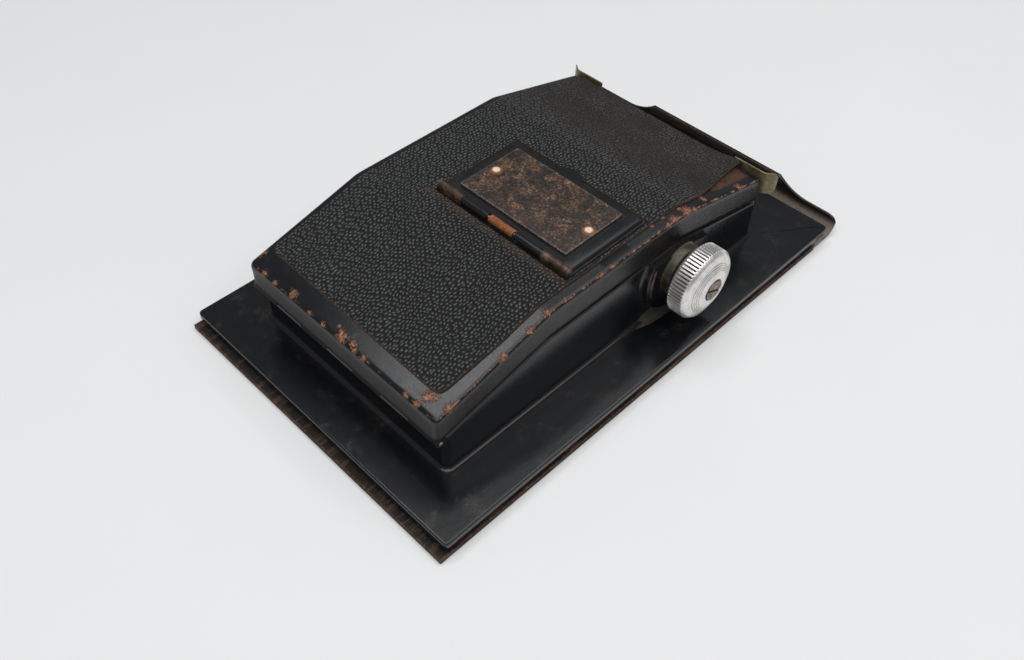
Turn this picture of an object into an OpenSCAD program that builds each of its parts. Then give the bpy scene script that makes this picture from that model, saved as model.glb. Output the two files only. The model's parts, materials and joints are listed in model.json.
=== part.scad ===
// Roll-film back for a 9 x 12 cm view camera, 6 x 9 cm frames on 120 film.
// Millimetres. +Z up, +X from the hinge end to the dark-slide handle, the knob on the -Y side.
// The origin is at the middle of the footprint, on the camera-side face.

/* [Base] */
// Length of the flange plate
base_l = 153; // [153:1:158]
// Width of the flange plate
base_w = 100; // [98:1:102]
// Height of the flange plate's top face
flange_top = 5.4; // [5.4:0.1:5.6]
// Thickness of the camera-side guide frame
frame_t = 1.6; // [1.4:0.1:1.6]
// How far the guide frame stands out at the hinge end
frame_lip = 2; // [1:0.5:3]

/* [Film box] */
// Height of the flat top facet
top_z = 35.4; // [35.4:0.1:37]
// Height of the cover's top edge at the hinge end
hinge_end_z = 26.4; // [26:0.1:27]
// Height of the cover's top edge at the latch end
latch_end_z = 26.6; // [26:0.1:27]
// Depth of the cover's skirt at its two ends
skirt = 7.2; // [7:0.1:7.2]
// Width over the cover
cover_w = 71.3; // [71.3:0.1:73]
// Sheet metal thickness
sheet = 0.8; // [0.6:0.1:0.8]
// How much deeper the skirt is along the flat facet
skirt_more = 0.9; // [0:0.1:1]

/* [Window] */
// Length of the window door along its hinge
door_l = 44.8; // [40:0.1:46]
// Width of the window door
door_w = 26; // [24:0.1:27]

/* [Winding knob] */
// Knob diameter
knob_d = 20.4; // [18:0.1:21]
// Knob thickness at the rim
knob_t = 6.3; // [5:0.1:6.5]
// Number of ribs round the knob
knob_ribs = 64; // [48:1:72]

/* [Film spool] */
// Diameter of the spool flanges
spool_d = 25.1; // [24:0.1:25.1]
// Length over the spool flanges
spool_l = 65.4; // [64:0.1:65.6]

/* [Hidden] */
$fn = 64;
eps = 0.01;

pull_reach = 5;                                  // the handle stands out this far past the flange
x0 = -(base_l + pull_reach - frame_lip) / 2;     // hinge-end edge of the flange
base_end = x0 + base_l;                          // its edge at the handle end
half_w = base_w / 2;
frame_end = base_end - 6;                        // where the guide frame and the turned-down edge stop
run = 0.05;                                      // running clearance of pins in their holes
rivet_r = 0.9;

// levels of the film gate
slide_z = frame_t + 0.15;
slide_t = 0.6;
gate_z = 2.8;
film_z = gate_z + sheet;
flange_drop = 2.2;
gate_l = 84;
gate_w = 56;
gate_margin = 2;                                 // the guide frame's opening is this much larger all round
channel_x = x0 + 5.6;                            // closed end and half width of the channel for the slide
channel_y = 43.6;
slide_y = channel_y - 0.2;

// cover
cover_x0 = x0 + 11.1;
cover_x1 = x0 + 132.9;
bend_x0 = x0 + 47.2;
bend_x1 = x0 + 97.1;
side_y = cover_w / 2;
corner_r = 1.6;

// tray: a lower wall flush with the cover, a ledge, and an inner wall inside the cover
tray_x0 = x0 + 13.6;
tray_x1 = x0 + 133;
tray_y = side_y - 0.15;
ledge_gap = 1.3;
inner_x0 = x0 + 14;
inner_x1 = x0 + 131.6;
inner_y = side_y - sheet - 0.2;
inner_drop = 1;
foot_reach = 1.2;

// cover hinge
hinge_x = x0 + 12.3;
hinge_z = 17.9;
hinge_r = 1.2;
hinge_pin_r = 0.55;
knuckles = 7;
knuckle_gap = 0.15;

// spools, placed evenly about the middle of the flat facet
mid_x = (bend_x0 + bend_x1) / 2;
spool_dx = 22.35;
takeup_x = mid_x + spool_dx;
supply_x = mid_x - spool_dx;
spool_z = 19.5;
core_r = 5.75;
spool_bore_r = 3.1;
spool_end = spool_l / 2;

// boss and knob
boss_r = 12.6;
boss_out = 2.2;
boss_face = -tray_y - boss_out;
shaft_r = 2;
knob_back = -41.3;
knob_front = knob_back - knob_t;
knob_crown = 1.7;
bush_r = 7.3;
bush_rim = 2.5;
spigot_r = 3.2;
ratchet_teeth = 16;
ratchet_r = 5.4;
pawl_rivet_x = takeup_x - 6.8;
pawl_rivet_z = spool_z - 7;

// pull pins on the +Y side
pull_bush_r = 4.6;
pull_bush_l = 3.5;
pull_shaft_r = 1.6;

// rollers
roller_dx = 50;
roller_r = 3.4;
roller_z = film_z + 0.25 + roller_r;
roller_l = 63;
axle_r = 1;

// window on the flat facet
window_y = -8;
frame_z = top_z;
door_z = frame_z + sheet + 0.05;
door_axis_x = x0 + 58.4;
door_r = 1.1;
door_axis_z = door_z + door_r;
door_x0 = x0 + 59.7;
door_pin_r = 0.5;
door_seg = 9;
frame_margin = 0.6;
plate_x = [x0 + 61.9, x0 + 83];
plate_y = [-26.2, 11.2];
door_rivet_x = x0 + 72.2;
door_rivet_y = [-24.3, 8.3];
leather_t = 0.8;
leather_x = [x0 + 16.2, x0 + 132.4];
leather_y = [-32.2, 33.1];
leather_cut_x = [x0 + 57, x0 + 87];
window_slot = [10, 28];

// latch strips
latch_x = tray_x1 + 0.05;
latch_t = 0.4;
latch_split_z = 13;
latch_w = 11;
latch_base_y = 33;

// pressure plate and the two bars its springs push back on
pressure_z = film_z + 0.35;
bridge_dx = 10.65;
bridge_z = 8.2;

brass = "#8a8457";
lacquer = "#101214";
nickel = "#d5d5d2";
rusty = "#7a4a30";
steel = "#8d8f92";

// ---- shared shapes ----

// Height of the cover's outer top surface at x
function top_at(x) =
    x < bend_x0 ? hinge_end_z + (top_z - hinge_end_z) * (x - cover_x0) / (bend_x0 - cover_x0) :
    x > bend_x1 ? top_z + (latch_end_z - top_z) * (x - bend_x1) / (cover_x1 - bend_x1) : top_z;

// Outline points of the cover's top, lowered by d (and by more at the bends), from xa to xb
function top_line(xa, xb, d, more = 0) = [
    [xa, top_at(xa) - d], [bend_x0, top_z - d - more], [bend_x1, top_z - d - more], [xb, top_at(xb) - d]
];

function reversed(list) = [for (i = [len(list) - 1:-1:0]) list[i]];

// Band between two lowered copies of the cover's top line
function band(xa, xb, d_high, d_low, more = 0) =
    concat(top_line(xa, xb, d_high), reversed(top_line(xa, xb, d_low, more)));

// Everything under the lowered top line, down to z = 0
function below(xa, xb, d, more = 0) = concat([[xa, 0]], top_line(xa, xb, d, more), [[xb, 0]]);

// A side profile in X and Z, extruded from y = ya to y = yb
module across(ya, yb) {
    translate([0, yb, 0]) rotate([90, 0, 0]) linear_extrude(yb - ya) children();
}

// A box given by its two corners
module block(low, high) {
    translate(low) cube(high - low);
}

// A round bar along Y
module bar(x, z, r, ya, yb) {
    translate([x, yb, z]) rotate([90, 0, 0]) cylinder(r = r, h = yb - ya);
}

// A rectangle with rounded corners, from xa to xb and centred on y = 0
module rounded_plan(xa, xb, y, r) {
    translate([xa + r, -y]) square([xb - xa - 2 * r, 2 * y]);
    translate([xa, -y + r]) square([xb - xa, 2 * y - 2 * r]);
    for (x = [xa + r, xb - r], s = [-1, 1]) translate([x, s * (y - r)]) circle(r);
}

// Knuckles of a hinge barrel along Y: those whose number has the same parity as first
module barrel(x, z, r, hole, y_low, y_high, count, first) {
    pitch = (y_high - y_low) / count;
    for (i = [first:2:count - 1]) {
        ya = y_low + i * pitch + knuckle_gap / 2;
        yb = y_low + (i + 1) * pitch - knuckle_gap / 2;
        difference() {
            union() {
                bar(x, z, r, ya, yb);
                translate([0, ya, 0]) children();
            }
            bar(x, z, hole, ya - 1, yb + 1);
        }
    }
}

// ---- base ----

module guide_frame() {
    hole_x = gate_l / 2 + gate_margin;
    hole_y = gate_w / 2 + gate_margin;
    side = half_w + 0.2;
    color(rusty) difference() {
        block([x0 - frame_lip, -side, 0], [frame_end, side, frame_t]);
        block([mid_x - hole_x, -hole_y, -1], [mid_x + hole_x, hole_y, frame_t + 1]);
    }
}

module slide_rails() {
    side = half_w - 1.2;
    color(lacquer) difference() {
        block([x0 + 1.2, -side, frame_t], [frame_end, side, flange_top - sheet]);
        block([channel_x, -channel_y, frame_t - 1], [base_end, channel_y, flange_top]);
    }
}

// Film gate with two raised film rails and an ear at each end of each roller
module gate_plate() {
    ear_y = roller_l / 2 + 0.3 + sheet / 2;
    ear_x = 3;
    rail_x = gate_l / 2 + 4;
    rail_y = gate_w / 2 + 1.5;
    color(lacquer) difference() {
        union() {
            block([channel_x, -channel_y, gate_z], [frame_end, channel_y, film_z]);
            for (s = [-1, 1]) {
                translate([mid_x, s * rail_y, 0])
                    block([-rail_x, -0.5, gate_z], [rail_x, 0.5, film_z + 0.1]);
                for (dx = [-roller_dx, roller_dx])
                    translate([mid_x + dx, s * ear_y, 0])
                        block([-ear_x, -sheet / 2, film_z - eps], [ear_x, sheet / 2, roller_z + ear_x]);
            }
        }
        block([mid_x - gate_l / 2, -gate_w / 2, 0], [mid_x + gate_l / 2, gate_w / 2, roller_z]);
        for (dx = [-roller_dx, roller_dx]) bar(mid_x + dx, roller_z, axle_r, -40, 40);
    }
}

module flange_plate() {
    inside = half_w - sheet;
    color(lacquer) difference() {
        union() {
            block([x0, -half_w, flange_top - sheet], [base_end, half_w, flange_top]);
            difference() {
                block([x0, -half_w, flange_top - flange_drop], [frame_end, half_w, flange_top]);
                block([x0 + sheet, -inside, 0], [frame_end + 1, inside, flange_top - sheet]);
            }
        }
        translate([0, 0, -1]) linear_extrude(flange_top + 2)
            rounded_plan(tray_x0 + sheet, tray_x1 - sheet, tray_y - sheet, 1);
    }
}

// ---- tray ----

module tray() {
    color(lacquer) difference() {
        union() {
            tray_lower();
            tray_upper();
            tray_foot();
            tray_boss(boss_r, boss_face, 0);
        }
        tray_boss(boss_r - sheet, boss_face + sheet, sheet);
        bar(takeup_x, spool_z, spigot_r, boss_face - 1, 0);
        for (x = [takeup_x, supply_x]) bar(x, spool_z, spool_bore_r, 0, tray_y + 1);
    }
}

module tray_lower() {
    ledge = skirt + ledge_gap;
    intersection() {
        difference() {
            across(-tray_y, tray_y) polygon(below(tray_x0, tray_x1, ledge, skirt_more));
            across(-tray_y + sheet, tray_y - sheet)
                polygon(below(tray_x0 + sheet, tray_x1 - sheet, ledge + sheet, skirt_more));
            across(-inner_y + sheet, inner_y - sheet)
                polygon(below(inner_x0 + sheet, inner_x1 - sheet, 0));
        }
        translate([0, 0, flange_top]) linear_extrude(top_z)
            rounded_plan(tray_x0, tray_x1, tray_y, corner_r);
    }
}

module tray_upper() {
    low = skirt + ledge_gap + sheet;
    high = sheet + inner_drop;
    difference() {
        across(-inner_y, inner_y) polygon(band(inner_x0, inner_x1, high, low, skirt_more));
        across(-inner_y + sheet, inner_y - sheet)
            polygon(below(inner_x0 + sheet, inner_x1 - sheet, -1));
    }
}

// Out-turned foot that the tray is soldered down by
module tray_foot() {
    r = foot_reach;
    translate([0, 0, flange_top]) linear_extrude(0.5) difference() {
        rounded_plan(tray_x0 - r, tray_x1 + r, tray_y + r, corner_r + r);
        rounded_plan(tray_x0 + sheet, tray_x1 - sheet, tray_y - sheet, 1);
    }
}

// Round boss round the winding shaft, cut off d below the ledge; its inside is the same shape, smaller
module tray_boss(r, face, d) {
    intersection() {
        bar(takeup_x, spool_z, r, face, -tray_y + sheet + d * eps);
        across(face, 0) polygon(below(tray_x0, tray_x1, skirt + ledge_gap + d, skirt_more));
    }
}

// ---- dark slide ----

grip_low_z = 6.2;
grip_z = 10.2;
grip_y = [-40, 32];                              // where the finger grip starts to rise from the rim
grip_sweep = [11.4, 10.7];                       // how far it takes to rise, at each end

// Height of the handle's top edge at y: low at the sides, swept up to the finger grip
function grip_at(y) =
    let (t = min((y - grip_y[0]) / grip_sweep[0], (grip_y[1] - y) / grip_sweep[1], 1))
        grip_low_z + (grip_z - grip_low_z) * pow(max(t, 0), 2.2);

// The slide's sheet runs between the rails; its handle flares up past the end of the flange
module dark_slide() {
    rim_x = base_end + pull_reach;
    lip_x = rim_x - sheet;
    hem_x = lip_x - 0.6;
    inside = channel_y - 0.6;
    shoulder_x = frame_end + 0.2;
    bottom = 0.2;
    color(lacquer) {
        block([x0 + 6, -slide_y, slide_z], [base_end, slide_y, slide_z + slide_t]);
        difference() {
            block([shoulder_x, -half_w, bottom], [base_end, half_w, gate_z + bottom]);
            block([frame_end, -inside, -1], [base_end - sheet, inside, slide_z]);
            block([frame_end, -inside, slide_z + slide_t], [base_end - sheet, inside, gate_z + 1]);
        }
        across(-half_w, half_w) polygon([
            [base_end - eps, bottom], [base_end + 1.6, 0.6], [base_end + 3.2, 1.8], [rim_x - 0.6, 3.6],
            [rim_x, grip_low_z], [lip_x, grip_low_z], [hem_x, 4], [base_end + 2.6, 2.6],
            [base_end + 1.2, 1.5], [base_end - eps, bottom + 1]
        ]);
        translate([lip_x, 0, 0]) rotate([90, 0, 90]) linear_extrude(sheet) polygon(concat(
            [[grip_y[0], grip_low_z - 0.1], [grip_y[1], grip_low_z - 0.1]],
            [for (i = [36:-1:0]) let (y = grip_y[0] + (grip_y[1] - grip_y[0]) * i / 36) [y, grip_at(y)]]
        ));
        block(
            [hem_x, grip_y[0] + grip_sweep[0], grip_z - 2.4],
            [lip_x + eps, grip_y[1] - grip_sweep[1], grip_z]
        );
    }
}

module slide_velvet() {
    color("#1a1a1c")
        block([frame_end - 9, -slide_y, slide_z + slide_t + 0.05], [frame_end - 2, slide_y, gate_z]);
}

// ---- cover ----

module cover() {
    color(lacquer) difference() {
        intersection() {
            across(-side_y, side_y) polygon(band(cover_x0, cover_x1, 0, skirt, skirt_more));
            linear_extrude(top_z + 1) rounded_plan(cover_x0, cover_x1, side_y, corner_r);
        }
        across(-side_y + sheet, side_y - sheet)
            polygon(below(cover_x0 + sheet, cover_x1 - sheet, sheet));
        translate([mid_x, window_y, top_z]) cube([window_slot[0], window_slot[1], 6], center = true);
    }
}

module cover_leather() {
    color("#1c1c1d") difference() {
        across(leather_y[0], leather_y[1]) polygon(band(leather_x[0], leather_x[1], -leather_t, 0));
        block(
            [leather_cut_x[0], window_y - door_l / 2 - 1, top_z - 1],
            [leather_cut_x[1], window_y + door_l / 2 + 1, top_z + 3]
        );
    }
}

module tray_hinge_leaf() {
    pitch = cover_w / knuckles - knuckle_gap;
    color(lacquer)
        barrel(hinge_x, hinge_z, hinge_r, hinge_pin_r + run, -side_y, side_y, knuckles, 1)
            block([tray_x0 - 0.7, 0, hinge_z - 4.4], [tray_x0, pitch, hinge_z]);
}

module cover_hinge_leaf() {
    pitch = cover_w / knuckles - knuckle_gap;
    leaf_top = hinge_end_z - skirt;
    color(lacquer)
        barrel(hinge_x, hinge_z, hinge_r, hinge_pin_r + run, -side_y, side_y, knuckles, 0)
            block([cover_x0, 0, hinge_z], [cover_x0 + sheet, pitch, leaf_top]);
}

module hinge_pin() {
    color(steel) bar(hinge_x, hinge_z, hinge_pin_r, -side_y, side_y);
}

// ---- window ----

module window_frame() {
    half = door_l / 2 + frame_margin;
    low_x = door_x0 - 0.1;
    high_x = leather_cut_x[1] - frame_margin;
    color(lacquer) difference() {
        union() {
            block([low_x, window_y - half, frame_z], [high_x, window_y + half, frame_z + sheet]);
            for (s = [-1, 1]) {
                middle = window_y + s * (half - door_seg / 2);
                ya = middle - door_seg / 2;
                yb = middle + door_seg / 2;
                block([leather_cut_x[0] + frame_margin, ya, frame_z], [low_x + eps, yb, frame_z + sheet]);
                bar(door_axis_x, door_axis_z, door_r, ya, yb);
                block([door_axis_x - door_r, ya, frame_z], [door_axis_x - door_r + sheet, yb, door_axis_z]);
            }
        }
        bar(door_axis_x, door_axis_z, door_pin_r, -60, 60);
        translate([mid_x, window_y, frame_z]) cube([window_slot[0], window_slot[1], 6], center = true);
    }
}

module window_door() {
    half = door_l / 2;
    inner = half + frame_margin - door_seg - 0.1;
    tab_y = window_y + 2.4;
    tab_r = 5;
    color(lacquer) difference() {
        union() {
            block([door_x0, window_y - half, door_z], [door_x0 + door_w, window_y + half, door_z + sheet]);
            translate([door_x0 + door_w - 0.4, tab_y, door_z])
                intersection() {
                    translate([-tab_r / 2 + 0.1, 0, 0]) cylinder(r = tab_r, h = sheet);
                    block([0, -tab_r, 0], [tab_r, tab_r, sheet]);
                }
            for (s = [-1, 1]) {
                middle = window_y + s * (inner - door_seg / 2);
                ya = middle - door_seg / 2;
                yb = middle + door_seg / 2;
                bar(door_axis_x, door_axis_z, door_r, ya, yb);
                block([door_axis_x, ya, door_z], [door_x0 + eps, yb, door_z + sheet]);
            }
        }
        bar(door_axis_x, door_axis_z, door_pin_r + run, -60, 60);
    }
}

module door_plate() {
    color(rusty) difference() {
        block([plate_x[0], plate_y[0], door_z + sheet], [plate_x[1], plate_y[1], door_z + 2 * sheet]);
        for (y = door_rivet_y) translate([door_rivet_x, y, 0]) cylinder(r = rivet_r, h = 60);
    }
}

module door_rivets() {
    color("#e8e2d4") for (y = door_rivet_y) translate([door_rivet_x, y, door_z + sheet]) {
        cylinder(r = rivet_r, h = sheet);
        translate([0, 0, sheet]) cylinder(r = 1.3, h = 0.35);
    }
}

module door_pin() {
    half = door_l / 2 + frame_margin;
    color(steel) bar(door_axis_x, door_axis_z, door_pin_r, window_y - half, window_y + half);
}

// Torsion spring between the door's knuckles, closed up into one wound sleeve
module door_spring() {
    wire = 0.28;
    turns = 16;
    length = turns * 2 * wire;
    color("#a8572a") translate([door_axis_x, window_y + length / 2, door_axis_z]) rotate([90, 0, 0])
        rotate_extrude() {
            for (i = [0:turns - 1]) translate([door_r - wire, (2 * i + 1) * wire]) circle(wire, $fn = 24);
            translate([door_r - 1.3 * wire, 0]) square([0.6 * wire, length]);
        }
}

module red_window() {
    lap = 3;
    glass_t = 0.6;
    color([0.7, 0.08, 0.05, 0.6])
        translate([mid_x, window_y, top_z - sheet - glass_t / 2])
            cube([window_slot[0] + 2 * lap, window_slot[1] + 2 * lap, glass_t], center = true);
}

// ---- latch springs ----

module latch_base() {
    color(brass) difference() {
        block(
            [tray_x1, -latch_base_y, latch_split_z - 5],
            [tray_x1 + latch_t, latch_base_y, latch_split_z - 0.05]
        );
        latch_rivet_places() cylinder(r = rivet_r, h = 4, center = true);
    }
}

module latch_rivet_places() {
    for (y = [-31, -11, 11, 31])
        translate([tray_x1, y, latch_split_z - 2.5]) rotate([0, 90, 0]) children();
}

module latch_rivets() {
    color(brass) latch_rivet_places() {
        cylinder(r = rivet_r, h = latch_t);
        translate([0, 0, latch_t]) cylinder(r = 1.5, h = 0.5);
    }
}

// Tongue that clips the cover's corner, out to y = outer, with an ear turned away from the box
module latch(outer) {
    ear = 4.2;
    ear_h = 7;
    top = latch_end_z + 1.8;
    color(brass) {
        block([latch_x, outer - latch_w, latch_split_z], [latch_x + latch_t, outer, top]);
        translate([latch_x, outer - latch_t, 0]) rotate([0, 0, -35])
            block([0, 0, top - ear_h], [latch_t, ear, top]);
    }
}

module latch_near() {
    mirror([0, 1, 0]) latch(side_y + 0.8);
}

module latch_far() {
    latch(side_y);
}

// ---- winding ----

// Ribbed outline: a straight-sided rib and groove for each step round the knob
function ribbed(r, depth, count) = [
    for (i = [0:count - 1], k = [0:3])
        let (a = 360 / count * (i + [0, 0.2, 0.5, 0.7][k]), q = k < 2 ? r - depth : r)
            q * [cos(a), sin(a)]
];

module knob_profile() {
    r = knob_d / 2;
    polygon([
        [shaft_r, 0], [r - 1.2, 0], [r, 1.1], [r, knob_t - 1.5], [r - 1, knob_t],
        [r * 0.5, knob_t + knob_crown], [3.2, knob_t + knob_crown], [3.2, knob_t + knob_crown - 1.2],
        [shaft_r, knob_t + knob_crown - 1.2]
    ]);
}

module winding_knob() {
    color(nickel) translate([takeup_x, knob_back, spool_z]) rotate([90, 0, 0]) intersection() {
        rotate_extrude() knob_profile();
        translate([0, 0, -1]) linear_extrude(knob_t + 6) polygon(ribbed(knob_d / 2, 0.45, knob_ribs));
    }
}

module knob_screw() {
    seat = knob_front - knob_crown + 1.2;
    color(rusty) difference() {
        union() {
            bar(takeup_x, spool_z, 3, seat - 1.5, seat);
            bar(takeup_x, spool_z, 1.2, seat, seat + 6);
        }
        translate([takeup_x, seat - 1.5, spool_z]) rotate([0, 25, 0]) cube([8, 1, 0.7], center = true);
    }
}

module winding_shaft() {
    outer_end = knob_front - knob_crown + 1.2;
    key_end = -spool_end + 2.5;
    color(steel) difference() {
        union() {
            bar(takeup_x, spool_z, shaft_r, outer_end, -spool_end - 1);
            bar(takeup_x, spool_z, 3, -spool_end - 1.1, -spool_end - 0.3);
            bar(takeup_x, spool_z, spool_bore_r - run, -spool_end - 0.4, key_end);
            block(
                [takeup_x - 3.9, -spool_end - 0.3, spool_z - 0.6],
                [takeup_x + 3.9, key_end, spool_z + 0.6]
            );
        }
        bar(takeup_x, spool_z, 1.2, outer_end - 1, outer_end + 6);
    }
}

module ratchet_wheel() {
    step = 360 / ratchet_teeth;
    tooth = [for (i = [0:ratchet_teeth - 1], k = [0, 1])
        (k == 0 ? ratchet_r : ratchet_r - 0.9) * [cos(i * step + k * 3), sin(i * step + k * 3)]];
    color(brass) difference() {
        translate([takeup_x, -34.6, spool_z]) rotate([90, 0, 0]) linear_extrude(0.8) polygon(tooth);
        bar(takeup_x, spool_z, shaft_r, -40, -30);
    }
}

// Olive-lacquered dished bush that the shaft turns in
module shaft_bush() {
    rim_end = boss_face - bush_rim;
    color(brass) difference() {
        union() {
            bar(takeup_x, spool_z, bush_r, rim_end, boss_face);
            bar(takeup_x, spool_z, 3.5, knob_back + 0.1, rim_end + eps);
            bar(takeup_x, spool_z, spigot_r, boss_face - eps, boss_face + 1.6);
        }
        difference() {
            bar(takeup_x, spool_z, bush_r - 1, rim_end - 1, boss_face - 1);
            bar(takeup_x, spool_z, 3.5, rim_end - 2, boss_face);
        }
        bar(takeup_x, spool_z, shaft_r + run, -50, -30);
    }
}

// Click spring that bears on the ratchet from the hinge side
module pawl_spring() {
    blade_x = takeup_x - ratchet_r - 0.15;
    color(steel) difference() {
        union() {
            block([blade_x - 0.4, -35.4, spool_z - 8.4], [blade_x, -34.7, spool_z + 1]);
            block([takeup_x - 7.9, -35.4, spool_z - 8.4], [blade_x, -35, spool_z - 5.6]);
        }
        bar(pawl_rivet_x, pawl_rivet_z, 0.6, -40, -30);
    }
}

module pawl_rivet() {
    color(steel) {
        bar(pawl_rivet_x, pawl_rivet_z, 0.6, boss_face + sheet, -35);
        bar(pawl_rivet_x, pawl_rivet_z, 0.8, -35, -34.6);
    }
}

// A metal 120 spool: tube core, two flanges, a film slot and a keyed bore at each end
module spool(x) {
    color("#2a2a2c") difference() {
        union() {
            bar(x, spool_z, core_r, -spool_end, spool_end);
            bar(x, spool_z, spool_d / 2, -spool_end, -spool_end + 0.9);
            bar(x, spool_z, spool_d / 2, spool_end - 0.9, spool_end);
        }
        for (s = [-1, 1]) {
            bar(x, spool_z, spool_bore_r, s * spool_end - 4, s * spool_end + 4);
            block([x - 4.1, s * spool_end - 4, spool_z - 0.8], [x + 4.1, s * spool_end + 4, spool_z + 0.8]);
        }
        block([x - 0.6, -27, spool_z - 8], [x + 0.6, 27, spool_z + 8]);
    }
}

module takeup_spool() {
    spool(takeup_x);
}

module supply_spool() {
    spool(supply_x);
}

module supply_pivot() {
    wall = -tray_y + sheet;
    color(steel) {
        bar(supply_x, spool_z, 4, wall, -spool_end - 0.3);
        bar(supply_x, spool_z, spool_bore_r - run, -spool_end - 0.3 - eps, -spool_end + 2.4);
    }
}

// Sprung pivot on the +Y side, pulled outwards to free the spool
module pull_pin(x) {
    collar_end = spool_end + 0.3;
    outer = tray_y + pull_bush_l;
    color(nickel) {
        bar(x, spool_z, spool_bore_r - run, spool_end - 2.4, collar_end);
        bar(x, spool_z, pull_shaft_r, collar_end - eps, outer + 0.1 + eps);
        bar(x, spool_z, 4, outer + 0.1, outer + 2.1);
    }
}

module takeup_pull_pin() {
    pull_pin(takeup_x);
}

module supply_pull_pin() {
    pull_pin(supply_x);
}

module pin_spring(x) {
    color(steel) difference() {
        bar(x, spool_z, 2.8, spool_end + 0.35, tray_y + pull_bush_l - sheet - 0.05);
        bar(x, spool_z, pull_shaft_r + 0.15, 0, 60);
    }
}

module takeup_pin_spring() {
    pin_spring(takeup_x);
}

module supply_pin_spring() {
    pin_spring(supply_x);
}

module pull_pin_bushes() {
    color(nickel) for (x = [takeup_x, supply_x]) difference() {
        bar(x, spool_z, pull_bush_r, tray_y, tray_y + pull_bush_l);
        bar(x, spool_z, spool_bore_r, tray_y - 1, tray_y + pull_bush_l - sheet);
        bar(x, spool_z, pull_shaft_r + run, 0, 60);
    }
}

// ---- film path ----

module roller(x) {
    color(nickel) difference() {
        bar(x, roller_z, roller_r, -roller_l / 2, roller_l / 2);
        bar(x, roller_z, axle_r + run, -50, 50);
    }
}

module roller_hinge_end() {
    roller(mid_x - roller_dx);
}

module roller_latch_end() {
    roller(mid_x + roller_dx);
}

module roller_axles() {
    color(steel) for (dx = [-roller_dx, roller_dx]) bar(mid_x + dx, roller_z, axle_r, -33.4, 33.4);
}

module pressure_plate() {
    color(lacquer) difference() {
        block([mid_x - 44, -30.5, pressure_z], [mid_x + 44, 30.5, pressure_z + sheet]);
        translate([mid_x, window_y, film_z])
            cube([window_slot[0] + 2, window_slot[1] + 4, 8], center = true);
    }
}

// Two bars across the tray that the pressure springs push back on
module spring_bridge() {
    color(lacquer) difference() {
        for (s = [-1, 1])
            block(
                [mid_x + s * bridge_dx - 2, -tray_y + sheet, bridge_z],
                [mid_x + s * bridge_dx + 2, tray_y - sheet, bridge_z + sheet]
            );
        for (s = [-1, 1]) translate([mid_x + s * bridge_dx, 0, 0]) cylinder(r = rivet_r, h = 20);
    }
}

module pressure_springs() {
    low = pressure_z + sheet + 0.05;
    color(steel) for (s = [-1, 1]) translate([mid_x + s * bridge_dx - 1.5, 0, 0])
        rotate([90, 0, 90]) linear_extrude(3) polygon([
            [-26, low], [-25, low], [-13, 6.4], [-5, 7.9], [5, 7.9], [13, 6.4], [25, low], [26, low],
            [26, low + 0.3], [25.2, low + 0.3], [13.2, 6.7], [5.2, 8.2], [-5.2, 8.2], [-13.2, 6.7],
            [-25.2, low + 0.3], [-26, low + 0.3]
        ]);
}

module spring_rivets() {
    color(steel) for (s = [-1, 1]) translate([mid_x + s * bridge_dx, 0, bridge_z]) {
        cylinder(r = rivet_r, h = sheet);
        translate([0, 0, sheet]) cylinder(r = 1.6, h = 0.5);
    }
}

guide_frame();
slide_rails();
gate_plate();
flange_plate();
tray();
dark_slide();
slide_velvet();
cover();
cover_leather();
tray_hinge_leaf();
cover_hinge_leaf();
hinge_pin();
window_frame();
window_door();
door_plate();
door_rivets();
door_pin();
door_spring();
red_window();
latch_base();
latch_near();
latch_far();
latch_rivets();
winding_knob();
knob_screw();
winding_shaft();
ratchet_wheel();
shaft_bush();
pawl_spring();
pawl_rivet();
takeup_spool();
supply_spool();
supply_pivot();
takeup_pull_pin();
supply_pull_pin();
takeup_pin_spring();
supply_pin_spring();
pull_pin_bushes();
roller_hinge_end();
roller_latch_end();
roller_axles();
pressure_plate();
spring_bridge();
pressure_springs();
spring_rivets();
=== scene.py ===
import json
import math
import bmesh
import bpy
from mathutils import Matrix, Vector, noise


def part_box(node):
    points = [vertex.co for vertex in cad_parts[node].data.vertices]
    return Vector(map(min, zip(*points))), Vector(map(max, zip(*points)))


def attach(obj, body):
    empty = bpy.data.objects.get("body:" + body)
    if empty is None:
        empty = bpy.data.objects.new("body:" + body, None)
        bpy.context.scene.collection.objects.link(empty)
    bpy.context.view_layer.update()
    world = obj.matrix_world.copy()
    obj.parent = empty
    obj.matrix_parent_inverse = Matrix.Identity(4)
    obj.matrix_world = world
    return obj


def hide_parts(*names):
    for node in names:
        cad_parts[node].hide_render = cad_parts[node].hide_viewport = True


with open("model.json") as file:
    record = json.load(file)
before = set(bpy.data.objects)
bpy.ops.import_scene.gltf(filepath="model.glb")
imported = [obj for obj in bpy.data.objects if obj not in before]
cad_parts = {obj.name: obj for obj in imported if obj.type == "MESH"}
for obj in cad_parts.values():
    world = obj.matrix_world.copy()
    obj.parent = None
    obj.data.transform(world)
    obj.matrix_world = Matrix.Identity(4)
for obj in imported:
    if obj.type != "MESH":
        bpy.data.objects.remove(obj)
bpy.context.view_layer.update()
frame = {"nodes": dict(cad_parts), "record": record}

MM = 0.001
RECORD = frame["record"]
BODY = {n: b for b, nodes in RECORD["behaviour"]["bodies"].items() for n in nodes}
SLOT = {s["node"]: s["material_slot"] for s in RECORD["subparts"]}


def box(node):
    """The node's lowest and highest corners in millimetres."""
    low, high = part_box(node)
    return low / MM, high / MM


COVER_LOW, COVER_HIGH = box("cover")
TRAY_LOW, TRAY_HIGH = box("tray")
FLANGE_LOW, FLANGE_HIGH = box("flange_plate")
LEATHER_LOW, LEATHER_HIGH = box("cover_leather")
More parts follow.
